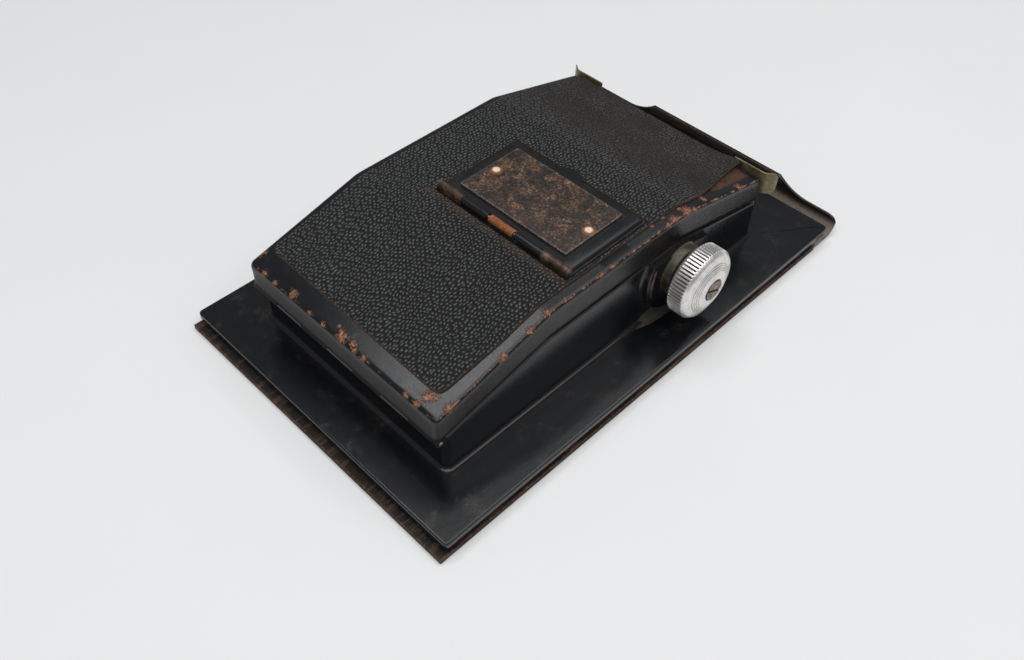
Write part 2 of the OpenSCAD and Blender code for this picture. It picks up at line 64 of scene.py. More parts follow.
# Where the cover's flat facet begins and ends, and how far each bend is eased
BEND = (COVER_LOW.x + 36.1, COVER_LOW.x + 86)
EASE = 1.6
TOP = COVER_HIGH.z
HINGE_END_Z = 26.4
LATCH_END_Z = 26.6
# The cover's skirt, and how much deeper it is along the flat facet
SKIRT = 7.2
SKIRT_MORE = 0.9
# How far below the cover's top line the tray's ledge runs
LEDGE = 8.5
SHEET = 0.8
TRAY_HALF = 35.5
SLIDE_HALF = 43.4
RIVET_EDGE = 1.3
ARC = 6
FLANGE_TOP = FLANGE_HIGH.z
KNOB_X = sum(v.x for v in box("winding_knob")) / 2
KNOB_Z = sum(v.z for v in box("winding_knob")) / 2


# ---- shader building ----


class Shader:
    """A procedural material. Each method adds a node and returns its output; lengths are in millimetres."""

    def __init__(self, name):
        self.material = bpy.data.materials.new(name)
        self.material.use_nodes = True
        self.tree = self.material.node_tree
        self.bsdf = self.tree.nodes["Principled BSDF"]
        coords = self.tree.nodes.new("ShaderNodeTexCoord")
        inputs = {0: coords.outputs["Object"], 3: 1 / MM}
        self.mm = self.put("VectorMath", inputs, operation="SCALE").outputs[0]
        split = self.put("SeparateXYZ", {0: self.mm})
        self.x, self.y, self.z = split.outputs

    def feed(self, node, inputs):
        """Links each input to a socket, or sets it to a constant."""
        for key, value in inputs.items():
            if isinstance(value, bpy.types.NodeSocket):
                self.tree.links.new(value, node.inputs[key])
            else:
                node.inputs[key].default_value = value

    def put(self, kind, inputs, **settings):
        node = self.tree.nodes.new("ShaderNode" + kind)
        for key, value in settings.items():
            setattr(node, key, value)
        self.feed(node, inputs)
        return node

    def math(self, operation, a, b=0.0, clamp=False):
        return self.put("Math", {0: a, 1: b}, operation=operation, use_clamp=clamp).outputs[0]

    def stretched(self, factors, turn=0.0):
        inputs = {"Vector": self.mm, "Angle": math.radians(turn)}
        rotated = self.put("VectorRotate", inputs, rotation_type="Z_AXIS").outputs[0]
        return self.put("VectorMath", {0: rotated, 1: factors}, operation="MULTIPLY").outputs[0]

    def warped(self, scale, amount):
        wave = self.put("TexNoise", {"Vector": self.mm, "Scale": scale, "Detail": 2.0})
        inputs = {0: wave.outputs["Color"], 1: (0.5, 0.5, 0.5)}
        centred = self.put("VectorMath", inputs, operation="SUBTRACT")
        moved = self.put("VectorMath", {0: centred.outputs[0], 3: amount}, operation="SCALE")
        return self.put("VectorMath", {0: self.mm, 1: moved.outputs[0]}, operation="ADD").outputs[0]

    def noise(self, scale, detail=4.0, rough=0.55, vector=None, distortion=0.0):
        inputs = {"Vector": vector or self.mm, "Scale": scale, "Detail": detail, "Roughness": rough}
        inputs["Distortion"] = distortion
        return self.put("TexNoise", inputs).outputs["Fac"]

    def cells(self, scale, vector):
        return self.put("TexVoronoi", {"Vector": vector, "Scale": scale}).outputs["Distance"]

    def step(self, value, low, high, a=0.0, b=1.0):
        inputs = {0: value, 1: low, 2: high, 3: a, 4: b}
        return self.put("MapRange", inputs, interpolation_type="SMOOTHSTEP").outputs[0]

    def mul(self, a, b):
        return self.math("MULTIPLY", a, b, clamp=True)

    def most(self, *values):
        result = values[0]
        for value in values[1:]:
            result = self.math("MAXIMUM", result, value)
        return result

    def band(self, value, low, high, soft):
        rise = self.step(value, low - soft, low + soft)
        fall = self.step(value, high - soft, high + soft, 1.0, 0.0)
        return self.mul(rise, fall)

    def near(self, point, radius, vector=None, soft=0.25):
        inputs = {0: vector or self.mm, 1: point}
        gap = self.put("VectorMath", inputs, operation="DISTANCE").outputs["Value"]
        return self.step(gap, radius * (1 - soft), radius * (1 + soft), 1.0, 0.0)

    def closeness(self, point, radius):
        """1 at the point, a half at the radius, falling on past 0."""
        gap = self.put("VectorMath", {0: self.mm, 1: point}, operation="DISTANCE").outputs["Value"]
        return self.math("SUBTRACT", 1.0, self.math("MULTIPLY", gap, 0.5 / radius))

    def mix(self, factor, a, b):
        colours = {6: a, 7: b}
        for key, value in colours.items():
            if isinstance(value, tuple):
                colours[key] = (*value, 1.0)
        return self.put("Mix", {0: factor, **colours}, data_type="RGBA").outputs[2]

    def ramp(self, factor, *stops):
        node = self.put("ValToRGB", {0: factor})
        elements = node.color_ramp.elements
        while len(elements) < len(stops):
            elements.new(0.5)
        for element, (place, colour) in zip(elements, stops):
            element.position = place
            element.color = (*colour, 1.0)
        return node.outputs["Color"]

    def edges(self, radius):
        """1 on edges sharper than the radius, 0 on flat areas."""
        rounded = self.put("Bevel", {"Radius": radius * MM}, samples=4)
        plain = self.put("NewGeometry", {})
        inputs = {0: rounded.outputs[0], 1: plain.outputs["Normal"]}
        along = self.put("VectorMath", inputs, operation="DOT_PRODUCT").outputs["Value"]
        return self.step(along, 0.995, 0.86)

    def tilt(self):
        """1 where the surface faces up, 0 where it is upright."""
        plain = self.put("NewGeometry", {})
        return self.put("SeparateXYZ", {0: plain.outputs["Normal"]}).outputs[2]

    def crevices(self, distance):
        """1 deep in a corner, 0 in the open."""
        shade = self.put("AmbientOcclusion", {"Distance": distance * MM}, samples=4)
        return self.math("SUBTRACT", 1.0, shade.outputs["AO"], clamp=True)

    def upward(self):
        return self.step(self.tilt(), 0.3, 0.95)

    def bump(self, height, depth, below=None):
        inputs = {"Height": height, "Distance": depth * MM, "Strength": 1.0}
        if below:
            inputs["Normal"] = below
        return self.put("Bump", inputs).outputs[0]

    def finish(self, colour, roughness, normal=None, **others):
        links = {"Base Color": colour, "Roughness": roughness}
        if normal:
            links["Normal"] = normal
        links.update({key.replace("_", " "): value for key, value in others.items()})
        self.feed(self.bsdf, links)
        return self.material


RUST_DARK = (0.070, 0.026, 0.014)
RUST_COPPER = (0.25, 0.098, 0.048)
RUST_PALE = (0.52, 0.27, 0.155)
DUST = (0.115, 0.094, 0.072)
BLACK = (0.0045, 0.0058, 0.0078)


def rust_colour(s):
    return s.ramp(s.noise(1.7, 6.0, 0.8), (0.38, RUST_DARK), (0.52, RUST_COPPER), (0.64, RUST_PALE))


def lacquer(
        name, gloss, dust, chips, pits=0.3, edge=0.7, film=0.0, peel=0.06, spots=(), bare=None, wear=None,
        matt_and_painted_sheen=None):
    """Gloss black lacquer with dust, hairline scratches, pits and edges chipped to rusty metal.

    The big chips are spots, each a place and a radius. Bare, wear and the third mask give masks: metal
    without paint, rubbed ridges, and matt sides whose colour is also painted lighter as a painted
    reflection.
    """
    s = Shader(name)
    cloud = s.noise(0.045, 5.0, 0.62)
    grime = s.noise(0.35, 6.0, 0.7)
    corner = s.crevices(3.0)
    settled = s.mul(s.upward(), s.step(s.noise(0.13, 8.0, 0.78), 0.50, 0.80))
    layer = s.most(s.mul(settled, dust), s.mul(s.mul(corner, grime), dust * 2.0), s.mul(grime, film))
    fine = s.step(s.noise(2.2, 3.0, 0.6), 0.64, 0.74)
    layer = s.math("ADD", layer, s.mul(fine, s.mul(cloud, dust * 0.7)), clamp=True)
    scratch = s.step(s.noise(1.0, 2.0, vector=s.stretched((0.05, 2.6, 0.4), 28)), 0.71, 0.74)
    crossing = s.noise(1.0, 2.0, vector=s.stretched((2.2, 0.06, 0.4), 12))
    scratch = s.most(scratch, s.step(crossing, 0.72, 0.75))
    scratch = s.mul(scratch, s.mul(cloud, 0.12))
    pit_size = s.step(s.noise(0.05, 2.0), 0.46, 0.80, 0.0, 0.17)
    pit = s.math("LESS_THAN", s.cells(0.24, s.warped(1.6, 0.9)), s.mul(pit_size, pits))
    rim = s.math("MULTIPLY", s.edges(edge), 0.5)
    if wear:
        rim = s.most(rim, wear(s))
    ragged = s.noise(1.5, 7.0, 0.85)
    coarse = s.math("ADD", s.noise(0.30, 8.0, 0.80), rim)
    crumbs = s.math("ADD", ragged, rim)
    limit = 1.12 - 0.08 * chips
    chip = s.most(pit, s.step(coarse, limit, limit + 0.015), s.step(crumbs, limit + 0.05, limit + 0.065))
    if spots:
        closest = s.most(*[s.closeness(point, radius) for point, radius in spots])
        torn = s.math("MULTIPLY", s.math("SUBTRACT", ragged, 0.5), 4.2)
        chip = s.most(chip, s.step(s.math("ADD", closest, torn), 0.50, 0.54))
    colour = s.mix(layer, BLACK, DUST)
    colour = s.mix(scratch, colour, (0.16, 0.15, 0.14))
    rough_gloss = s.step(cloud, 0.2, 0.8, gloss * 0.75, gloss * 1.35)
    if matt_and_painted_sheen:
        rough_gloss = s.math("ADD", rough_gloss, s.mul(matt_and_painted_sheen(s), 0.24))
        # Painted reflection: the matt sides are painted a lighter brownish grey for the sheen they show.
        colour = s.mix(matt_and_painted_sheen(s), colour, (0.020, 0.017, 0.0155))
    if bare:
        patch = bare(s)
        stops = (0.3, (0.012, 0.007, 0.005)), (0.52, (0.085, 0.034, 0.016))
        stain = s.ramp(s.noise(0.7, 6.0, 0.7), *stops)
        colour = s.mix(patch, colour, stain)
        layer = s.most(layer, patch)
    colour = s.mix(chip, colour, rust_colour(s))
    roughness = s.math("ADD", rough_gloss, s.mul(layer, 0.8))
    roughness = s.math("ADD", roughness, s.mul(chip, 0.45), clamp=True)
    level = s.math("SUBTRACT", s.mul(s.noise(0.5, 3.0), 0.25), s.mul(chip, 0.5))
    skin = s.bump(s.noise(2.4, 4.0, 0.7), 0.4 * peel)
    return s.finish(colour, roughness, s.bump(level, peel, skin), Specular_IOR_Level=0.5, IOR=1.5)


def cover_lacquer():
    """The cover's lacquer, with the big chips of its rim and the bare rusty metal by the lifted leather."""
    top = LATCH_END_Z + 6
    spots = [
        ((-65.5, 18.3, 26.8), 1.15), ((-65.7, -1.1, 26.7), 1.55), ((-64.3, 1.5, 27.0), 0.55),
        ((-65.3, -4.9, 26.8), 0.85), ((-66.3, -6.5, 26.5), 0.60), ((-66.3, -9.7, 26.5), 0.80),
        ((-63.4, -29.2, 27.2), 1.25), ((-62.2, -30.9, 27.5), 0.75), ((-62.3, -34.9, 27.5), 1.00),
        ((-66.3, -28.5, 26.5), 0.90), ((-66.3, -24.5, 26.5), 0.65), ((-66.5, 10.7, 26.5), 0.60),
        ((-66.4, 5.5, 26.5), 0.65), ((-66.3, 29.5, 26.5), 0.95), ((-66.3, 25.0, 26.5), 0.75),
        ((-62.5, 35.2, 27.4), 1.10), ((20.5, -34.6, 35.1), 1.60), ((23.1, -35.4, 34.4), 0.90),
        ((19.3, -33.0, 35.4), 0.65), ((15.3, -34.6, 35.4), 1.05), ((12.5, -35.0, 35.4), 0.75),
        ((8.5, -35.3, 35.4), 0.60), ((44.3, -34.6, 29.2), 1.05), ((-25.3, -35.2, 35.4), 0.60),
        ((-12.9, -35.3, 35.3), 0.65), ((-8.9, -35.3, 35.4), 0.60), ((-31.1, -34.8, 35.3), 0.85),
        ((-37.1, -35.2, 33.8), 0.85), ((-45.9, -35.3, 31.6), 0.95), ((8.9, -32.4, 35.4), 0.50),
        ((13.3, -32.4, 35.4), 0.55), ((29.3, -33.4, 32.9), 0.90),
    ]

    def bare(s):
        area = s.mul(s.band(s.x, 36.0, 52.0, 1.6), s.band(s.y, -32.6, -24.0, 0.7))
        return s.mul(s.mul(area, s.step(s.z, top - 8, top - 6)), s.step(s.noise(0.5, 6.0, 0.75), 0.30, 0.48))

    def wear(s):
        tilt = s.tilt()
        ridge = s.mul(s.step(tilt, 0.50, 0.66), s.step(tilt, 0.945, 0.88))
        return s.math("MULTIPLY", ridge, s.step(s.y, -33.8, -35.0, 0.51, 0.55))

    # Upright sides, most at the hinge end: made matt and painted lighter grey as a painted reflection of the
    # floor.
    def side(s):
        return s.mul(s.step(s.tilt(), 0.50, 0.30), s.step(s.x, -55.0, -66.0, 0.35, 1.0))

    return lacquer("cover_lacquer", 0.15, 0.20, 0.75, 0.2, 0.7, 0.0, 0.10, spots, bare, wear, side)


def leather():
    """Black pebble-grained leather, worn matt and brown towards the latch end, dusty by the window hinge."""
    s = Shader("black_leather")
    soft = s.warped(0.10, 2.6)
    grain = s.put("VectorMath", {0: soft, 1: (0.82, 1.12, 0.0)}, operation="MULTIPLY").outputs[0]
    along, across = list(s.put("SeparateXYZ", {0: grain}).outputs)[:2]
    row = s.math("FLOOR", s.math("ADD", across, 0.26))
    shifted = s.math("ADD", along, s.math("MULTIPLY", row, 0.38))
    staggered = s.put("CombineXYZ", {0: shifted, 1: across}).outputs[0]
    voronoi = {"Vector": staggered, "Scale": 1.0, "Randomness": 0.48}
    spot = s.put("TexVoronoi", voronoi, feature="F1", voronoi_dimensions="2D").outputs["Distance"]
    dome = s.math("SUBTRACT", 1.0, s.math("POWER", s.math("MULTIPLY", spot, 1.75), 2.0), clamp=True)
    crease = s.noise(0.30, 4.0, 0.6)
    pore = s.noise(2.4, 4.0, 0.65)
    patchy = s.step(s.noise(0.10, 5.0, 0.6), 0.30, 0.58, 0.5, 1.0)
    worn = s.mul(s.step(s.x, 12.0, 34.0), patchy)
    grit = s.noise(1.5, 6.0, 0.85)
    streaks = s.noise(0.16, 4.0, 0.6, vector=s.stretched((1.0, 0.45, 1.0), 30))
    smudge = s.mul(s.step(streaks, 0.52, 0.62), worn)
    rubs = s.noise(0.55, 6.0, 0.75, vector=s.stretched((0.5, 1.4, 1.0), 40))
    scuff = s.mul(s.step(rubs, 0.55, 0.72), worn)
    hinge_dust = s.mul(s.band(s.x, -23.4, -20.9, 1.0), s.band(s.y, -33.0, 18.0, 2.0))
    hinge_dust = s.mul(hinge_dust, s.step(s.noise(0.35, 6.0, 0.75), 0.30, 0.66, 0.15, 0.9))
    rim_dust = s.mul(s.step(s.edges(0.9), 0.0, 1.0), 0.5)
    fleck = s.mul(s.step(s.noise(1.6, 3.0), 0.70, 0.78), 0.35)
    low = s.math("SUBTRACT", 1.0, dome, clamp=True)
    # Painted highlight: the pebble tops are painted light bluish grey for the glints on the grain; the
    # hollows stay near black.
    colour = s.ramp(dome, (0.35, (0.0012, 0.0013, 0.0015)), (0.90, (0.058, 0.059, 0.062)))
    colour = s.mix(s.mul(worn, 0.85), colour, (0.0022, 0.0020, 0.0019))
    clear = s.math("SUBTRACT", worn, smudge, clamp=True)
    colour = s.mix(s.mul(s.step(grit, 0.55, 0.63), clear), colour, (0.13, 0.105, 0.085))
    colour = s.mix(s.mul(scuff, 0.45), colour, (0.046, 0.029, 0.019))
    colour = s.mix(s.mul(smudge, 0.8), colour, (0.004, 0.004, 0.004))
    sunk = s.mul(s.mul(low, 0.3), worn)
    dirt = s.most(hinge_dust, s.mul(rim_dust, crease), s.mul(fleck, crease), sunk)
    colour = s.mix(s.mul(dirt, 0.75), colour, (0.075, 0.050, 0.034))
    matt = s.mul(s.most(worn, dirt), 0.50)
    roughness = s.math("ADD", s.step(dome, 0.1, 0.9, 0.80, 0.15), matt, clamp=True)
    flat = s.step(worn, 0.0, 1.0, 1.0, 0.45)
    height = s.mul(s.math("ADD", s.mul(dome, 0.88), s.mul(pore, 0.12)), flat)
    height = s.math("ADD", height, s.mul(s.mul(grit, worn), 0.70))
    normal = s.bump(height, 0.60, s.bump(crease, 0.25))
    return s.finish(colour, roughness, normal, Specular_IOR_Level=0.5)


def leather_edge():
    """The cut edge of the leather, fibrous and beige."""
    s = Shader("leather_edge")
    fibre = s.noise(3.0, 5.0, 0.7, vector=s.stretched((0.5, 0.5, 2.0)))
    stops = (0.30, (0.022, 0.016, 0.012)), (0.55, (0.115, 0.070, 0.040)), (0.75, (0.24, 0.16, 0.10))
    colour = s.ramp(fibre, *stops)
    return s.finish(colour, s.step(fibre, 0.2, 0.8, 0.95, 0.75), s.bump(fibre, 0.12))


def rusty_plate():
    """Mottled brown plate whose paint has gone, with an orange halo round each rivet."""
    s = Shader("rusty_plate")
    big = s.noise(0.30, 6.0, 0.72, distortion=0.5)
    fine = s.noise(1.5, 8.0, 0.88)
    blend = s.math("ADD", s.mul(big, 0.36), s.mul(fine, 0.70))
    colour = s.ramp(
        blend, (0.47, (0.005, 0.004, 0.004)), (0.52, (0.022, 0.016, 0.012)), (0.56, (0.062, 0.040, 0.028)),
        (0.60, (0.19, 0.095, 0.048)), (0.66, (0.46, 0.25, 0.135)))
    low, high = box("door_rivets")
    middle = (low.x + high.x) / 2
    places = [(middle, y, low.z + SHEET) for y in (low.y + RIVET_EDGE, high.y - RIVET_EDGE)]
    halo = s.most(*[s.near(place, 1.6, s.warped(1.2, 0.6), 0.4) for place in places])
    colour = s.mix(s.mul(halo, 0.7), colour, (0.36, 0.13, 0.04))
    # The edges are painted light grey: partly worn bare metal, partly a painted highlight on the rounded
    # edges.
    edge = s.mul(s.edges(0.7), s.step(fine, 0.36, 0.50))
    colour = s.mix(s.mul(edge, 0.8), colour, (0.30, 0.28, 0.26))
    roughness = s.step(blend, 0.35, 0.75, 0.46, 0.85)
    return s.finish(colour, roughness, s.bump(fine, 0.10, s.bump(big, 0.10)), Metallic=0.15)


def rivet_paint():
    """Cream paint, flaking to orange rust round the rim."""
    s = Shader("rivet_paint")
    low, high = box("door_rivets")
    middle = (low.x + high.x) / 2
    places = [(middle, y, high.z) for y in (low.y + RIVET_EDGE, high.y - RIVET_EDGE)]
    rim = s.most(*[s.near(place, 0.98, s.warped(1.8, 0.5), 0.2) for place in places])
    flake = s.noise(2.0, 5.0, 0.7)
    cream = s.ramp(flake, (0.35, (0.52, 0.42, 0.30)), (0.60, (0.80, 0.76, 0.66)))
    colour = s.mix(rim, (0.42, 0.14, 0.04), cream)
    return s.finish(colour, s.step(flake, 0.2, 0.8, 0.45, 0.75), s.bump(flake, 0.05))


def nickel():
    """Satin plated metal turned on a lathe, with brown dirt in the grooves."""
    s = Shader("nickel")
    groove, pitch = 7.35, 0.55
    inputs = {0: s.math("SUBTRACT", s.x, KNOB_X), 1: 0.0, 2: s.math("SUBTRACT", s.z, KNOB_Z)}
    flat = s.put("CombineXYZ", inputs).outputs[0]
    radius = s.put("VectorMath", {0: flat}, operation="LENGTH").outputs["Value"]
    inputs = {"W": radius, "Scale": 5.0, "Detail": 3.0}
    rings = s.put("TexNoise", inputs, noise_dimensions="1D").outputs["Fac"]
    stain = s.noise(0.55, 6.0, 0.7)
    deep = s.step(s.crevices(1.0), 0.18, 0.62)
    phase = s.math("MULTIPLY", s.math("SUBTRACT", radius, groove), 2 * math.pi / pitch)
    face = s.mul(s.band(radius, 5.4, 7.6, 0.05), s.step(s.y, -47.4, -47.7))
    turned = s.mul(s.step(s.math("COSINE", phase), 0.55, 0.95), face)
    deep = s.most(deep, s.mul(turned, 0.62))
    stops = (0.30, (0.60, 0.57, 0.53)), (0.50, (0.80, 0.785, 0.76)), (0.70, (0.90, 0.89, 0.87))
    colour = s.ramp(stain, *stops)
    colour = s.mix(s.mul(deep, 0.9), colour, (0.060, 0.040, 0.026))
    freckle = s.mul(s.step(s.noise(1.8, 5.0, 0.75), 0.60, 0.70), 0.35)
    colour = s.mix(freckle, colour, (0.22, 0.15, 0.09))
    matt = s.mul(s.most(deep, freckle), 0.35)
    roughness = s.math("ADD", s.step(rings, 0.2, 0.8, 0.26, 0.40), matt, clamp=True)
    return s.finish(colour, roughness, s.bump(rings, 0.012), Metallic=0.78)


def worn_metal(name, dark, mid, pale, metallic, rough):
    """Patinated metal: three tones, fine brushing, rubbed bright edges and dirt in its corners."""
    grime = 0.5
    s = Shader(name)
    tone = s.noise(0.45, 6.0, 0.68, distortion=0.3)
    brush = s.noise(1.0, 3.0, vector=s.stretched((0.35, 5.0, 5.0), 4))
    colour = s.ramp(tone, (0.32, dark), (0.50, mid), (0.70, pale))
    colour = s.mix(s.mul(s.edges(0.4), 0.45), colour, tuple(min(1.0, 1.5 * c) for c in pale))
    colour = s.mix(s.mul(s.crevices(1.5), grime), colour, (0.030, 0.022, 0.016))
    speck = s.mul(s.step(s.noise(1.7, 4.0, 0.7), 0.66, 0.74), grime)
    colour = s.mix(speck, colour, (0.13, 0.055, 0.025))
    brushed = s.step(brush, 0.2, 0.8, rough * 0.8, rough * 1.3)
    roughness = s.math("ADD", brushed, s.mul(speck, 0.3), clamp=True)
    return s.finish(colour, roughness, s.bump(brush, 0.02), Metallic=metallic)


def spring_rust():
    """Bright orange rust on the window door's coil spring."""
    s = Shader("spring_rust")
    scale = s.noise(1.4, 7.0, 0.75)
    stops = (0.30, (0.10, 0.034, 0.014)), (0.50, (0.33, 0.115, 0.038)), (0.72, (0.52, 0.22, 0.085))
    colour = s.ramp(scale, *stops)
    return s.finish(colour, s.step(scale, 0.2, 0.8, 0.62, 0.92), s.bump(scale, 0.08), Metallic=0.2)


def knuckle_brown():
    """Hinge knuckles rubbed through to brown metal."""
    return worn_metal(
        "knuckle_brown", (0.020, 0.013, 0.010), (0.075, 0.042, 0.028), (0.19, 0.125, 0.09), 0.35, 0.42)


def frame_metal():
    """The lower plate: black lacquer under brown dust, its outer edge rusted bare."""
    s = Shader("frame_metal")
    cloud = s.noise(0.12, 6.0, 0.7)
    fine = s.noise(1.5, 6.0, 0.75)
    streak = s.noise(1.0, 4.0, 0.6, vector=s.stretched((0.12, 0.9, 0.9)))
    cover = s.step(s.math("ADD", s.mul(cloud, 0.5), s.mul(fine, 0.5)), 0.38, 0.60)
    colour = s.mix(cover, (0.004, 0.004, 0.004), (0.016, 0.012, 0.009))
    colour = s.mix(s.mul(s.step(streak, 0.50, 0.62), 0.6), colour, (0.085, 0.050, 0.030))
    rust = s.mul(s.edges(0.7), s.step(fine, 0.44, 0.54))
    rust = s.most(rust, s.step(s.noise(0.8, 5.0, 0.7), 0.66, 0.70))
    colour = s.mix(rust, colour, rust_colour(s))
    roughness = s.math("ADD", s.step(cover, 0.0, 1.0, 0.50, 0.80), s.mul(rust, 0.15), clamp=True)
    return s.finish(colour, roughness, s.bump(fine, 0.06), Specular_IOR_Level=0.3)


def handle_metal():
    """The slide's handle: taupe dust on the inner face, the rim worn to brown."""
    s = Shader("handle_lacquer")
    cloud = s.noise(0.14, 6.0, 0.68)
    fine = s.noise(1.2, 6.0, 0.75)
    low = s.step(s.x, 79.3, 78.4)
    layer = s.mul(low, s.step(s.math("ADD", s.mul(cloud, 0.55), s.mul(fine, 0.45)), 0.28, 0.52))
    layer = s.mul(layer, s.step(s.z, 5.8, 3.6, 0.12, 1.0))
    colour = s.mix(layer, (0.0075, 0.0078, 0.0085), (0.20, 0.165, 0.13))
    worn = s.mul(s.edges(0.9), s.step(fine, 0.40, 0.56))
    colour = s.mix(s.mul(worn, 0.75), colour, (0.085, 0.045, 0.028))
    chip = s.mul(s.edges(0.8), s.step(s.noise(0.55, 5.0, 0.7), 0.58, 0.63))
    colour = s.mix(chip, colour, rust_colour(s))
    matt = s.mul(s.most(worn, chip), 0.3)
    roughness = s.math("ADD", s.step(layer, 0.0, 1.0, 0.24, 0.66), matt, clamp=True)
    return s.finish(colour, roughness, s.bump(fine, 0.05))


def velvet():
    """Short black pile of the light trap."""
    s = Shader("velvet")
    pile = s.noise(6.0, 4.0, 0.7)
    colour = s.ramp(pile, (0.30, (0.004, 0.004, 0.005)), (0.70, (0.030, 0.028, 0.028)))
    return s.finish(colour, 0.95, s.bump(pile, 0.2), Sheen_Weight=0.6, Sheen_Roughness=0.4)


def red_glass():
    """Dark red film window, dusty and finely scratched."""
    s = Shader("red_glass")
    haze = s.noise(0.5, 6.0, 0.7)
    line = s.step(s.noise(1.0, 2.0, vector=s.stretched((0.2, 4.0, 1.0), 15)), 0.66, 0.70)
    dusty = s.step(haze, 0.35, 0.75, 0.0, 0.5)
    colour = s.mix(dusty, (0.40, 0.006, 0.004), (0.22, 0.035, 0.022))
    roughness = s.math("ADD", s.step(haze, 0.3, 0.8, 0.08, 0.28), s.mul(line, 0.2), clamp=True)
    return s.finish(colour, roughness, s.bump(line, 0.01), IOR=1.49, Coat_Weight=0.3)


def spool_paint():
    """Black japanned spool, rubbed to grey metal on its rims."""
    s = Shader("spool_paint")
    cloud = s.noise(0.35, 6.0, 0.7)
    worn = s.mul(s.edges(0.8), s.step(s.noise(0.8, 6.0, 0.7), 0.42, 0.55))
    faded = s.step(cloud, 0.45, 0.75, 0.0, 0.5)
    colour = s.mix(faded, (0.011, 0.011, 0.012), (0.050, 0.043, 0.036))
    colour = s.mix(worn, colour, (0.26, 0.24, 0.22))
    roughness = s.math("ADD", s.step(cloud, 0.2, 0.8, 0.28, 0.5), s.mul(worn, 0.05))
    return s.finish(colour, roughness, s.bump(cloud, 0.03))


def floor_paper():
    """Pale seamless paper."""
    s = Shader("floor_paper")
    mottle = s.noise(0.02, 4.0, 0.5)
    colour = s.mix(mottle, (0.80, 0.805, 0.81), (0.83, 0.832, 0.835))
    return s.finish(colour, 0.75, s.bump(s.noise(1.0, 3.0), 0.02), Specular_IOR_Level=0.2)


# ---- mesh building ----


def top_z(x):
    """Height of the cover's outer top line at x, with the two bends eased."""

    def line(v):
        if v < BEND[0]:
            return HINGE_END_Z + (TOP - HINGE_END_Z) * (v - COVER_LOW.x) / (BEND[0] - COVER_LOW.x)
        if v > BEND[1]:
            return TOP + (LATCH_END_Z - TOP) * (v - BEND[1]) / (COVER_HIGH.x - BEND[1])
        return TOP

    for bend in BEND:
        if abs(x - bend) < EASE:
            a, b, t = line(bend - EASE), line(bend + EASE), (x - bend + EASE) / (2 * EASE)
            return (1 - t) ** 2 * a + 2 * t * (1 - t) * TOP + t * t * b
    return line(x)


def deeper(x, low, high):
    """How much of the extra depth of the skirt there is at x: all between the bends, none at the ends."""
    if x < BEND[0]:
        return SKIRT_MORE * max(0.0, (x - low) / (BEND[0] - low))
    if x > BEND[1]:
        return SKIRT_MORE * max(0.0, (high - x) / (high - BEND[1]))
    return SKIRT_MORE


def added(name, data):
    """A new object in the scene."""
    obj = bpy.data.objects.new(name, data)
    bpy.context.scene.collection.objects.link(obj)
    return obj


def finish_piece(name, mesh, materials, body, stands_for, sharp):
    bm = bmesh.new()
    bm.from_mesh(mesh)
    bmesh.ops.recalc_face_normals(bm, faces=bm.faces)
    bm.to_mesh(mesh)
    bm.free()
    mesh.shade_smooth()
    if sharp:
        mesh.set_sharp_from_angle(angle=math.radians(sharp))
    for material in materials:
        mesh.materials.append(material)
    obj = added(name, mesh)
    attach(obj, body)
    if stands_for:
        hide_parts(*stands_for)
    return obj


def piece(name, verts, faces, materials, body, slot_name, stands_for=(), sharp=40, second=()):
    """A new piece from points in millimetres. The faces numbered in second take the second material."""
    mesh = bpy.data.meshes.new(name)
    mesh.from_pydata([tuple(c * MM for c in v) for v in verts], [], faces)
    for i in second:
        mesh.polygons[i].material_index = 1
    return finish_piece(name, mesh, materials, body, stands_for, sharp)


def bevel(obj, width, segments=2, angle=30):
    modifier = obj.modifiers.new("Bevel", "BEVEL")
    modifier.width = width * MM
    modifier.segments = segments
    modifier.limit_method = "ANGLE"
    modifier.angle_limit = math.radians(angle)
    weighted = obj.modifiers.new("Flat faces", "WEIGHTED_NORMAL")
    weighted.mode = "FACE_AREA"
    weighted.keep_sharp = True


def refined(node, material, width=0.12, second=None, where=None):
    """A CAD solid drawn again with eased edges. Faces where where(centre) holds take the second material."""
    mesh = frame["nodes"][node].data.copy()
    mesh.name = node + "_fine"
    mesh.materials.clear()
    bm = bmesh.new()
    bm.from_mesh(mesh)
    bmesh.ops.remove_doubles(bm, verts=bm.verts, dist=2e-6)
    bmesh.ops.dissolve_limit(bm, angle_limit=math.radians(0.5), verts=bm.verts, edges=bm.edges)
    for face in bm.faces:
        face.material_index = int(bool(where and where(face.calc_center_median() / MM)))
    bm.to_mesh(mesh)
    bm.free()
    materials = [material] if second is None else [material, second]
    obj = finish_piece(node + "_fine", mesh, materials, BODY[node], [node], 0)
    bevel(obj, width)
    return obj


def plan(xa, xb, ya, yb, r, xs, ys):
    """A rounded rectangle as a list of points with the same layout for every size."""
    points = [(x, ya) for x in xs]
    turns = [(xb - r, ya + r, -90), (xb - r, yb - r, 0), (xa + r, yb - r, 90), (xa + r, ya + r, 180)]
    sides = [[(xb, y) for y in ys], [(x, yb) for x in reversed(xs)], [(xa, y) for y in reversed(ys)], []]
    for (cx, cy, start), side in zip(turns, sides):
        for i in range(ARC + 1):
            a = math.radians(start + 90 * i / ARC)
            points.append((cx + r * math.cos(a), cy + r * math.sin(a)))
        points += side
    return points


def rings(levels, closed=False):
    """Verts and quads joining loops of equal length, one after another."""
    count = len(levels[0])
    verts = [v for level in levels for v in level]
    last = len(levels) if closed else len(levels) - 1
    faces = []
    for k in range(last):
        a, b = k * count, (k + 1) % len(levels) * count
        faces += [(a + i, a + (i + 1) % count, b + (i + 1) % count, b + i) for i in range(count)]
    return verts, faces


def capped(sections):
    """The sections joined one after another, with both ends closed."""
    verts, faces = rings(sections)
    count = len(sections[0])
    faces.append(tuple(range(count)))
    faces.append(tuple(range(len(verts) - count, len(verts))))
    return verts, faces


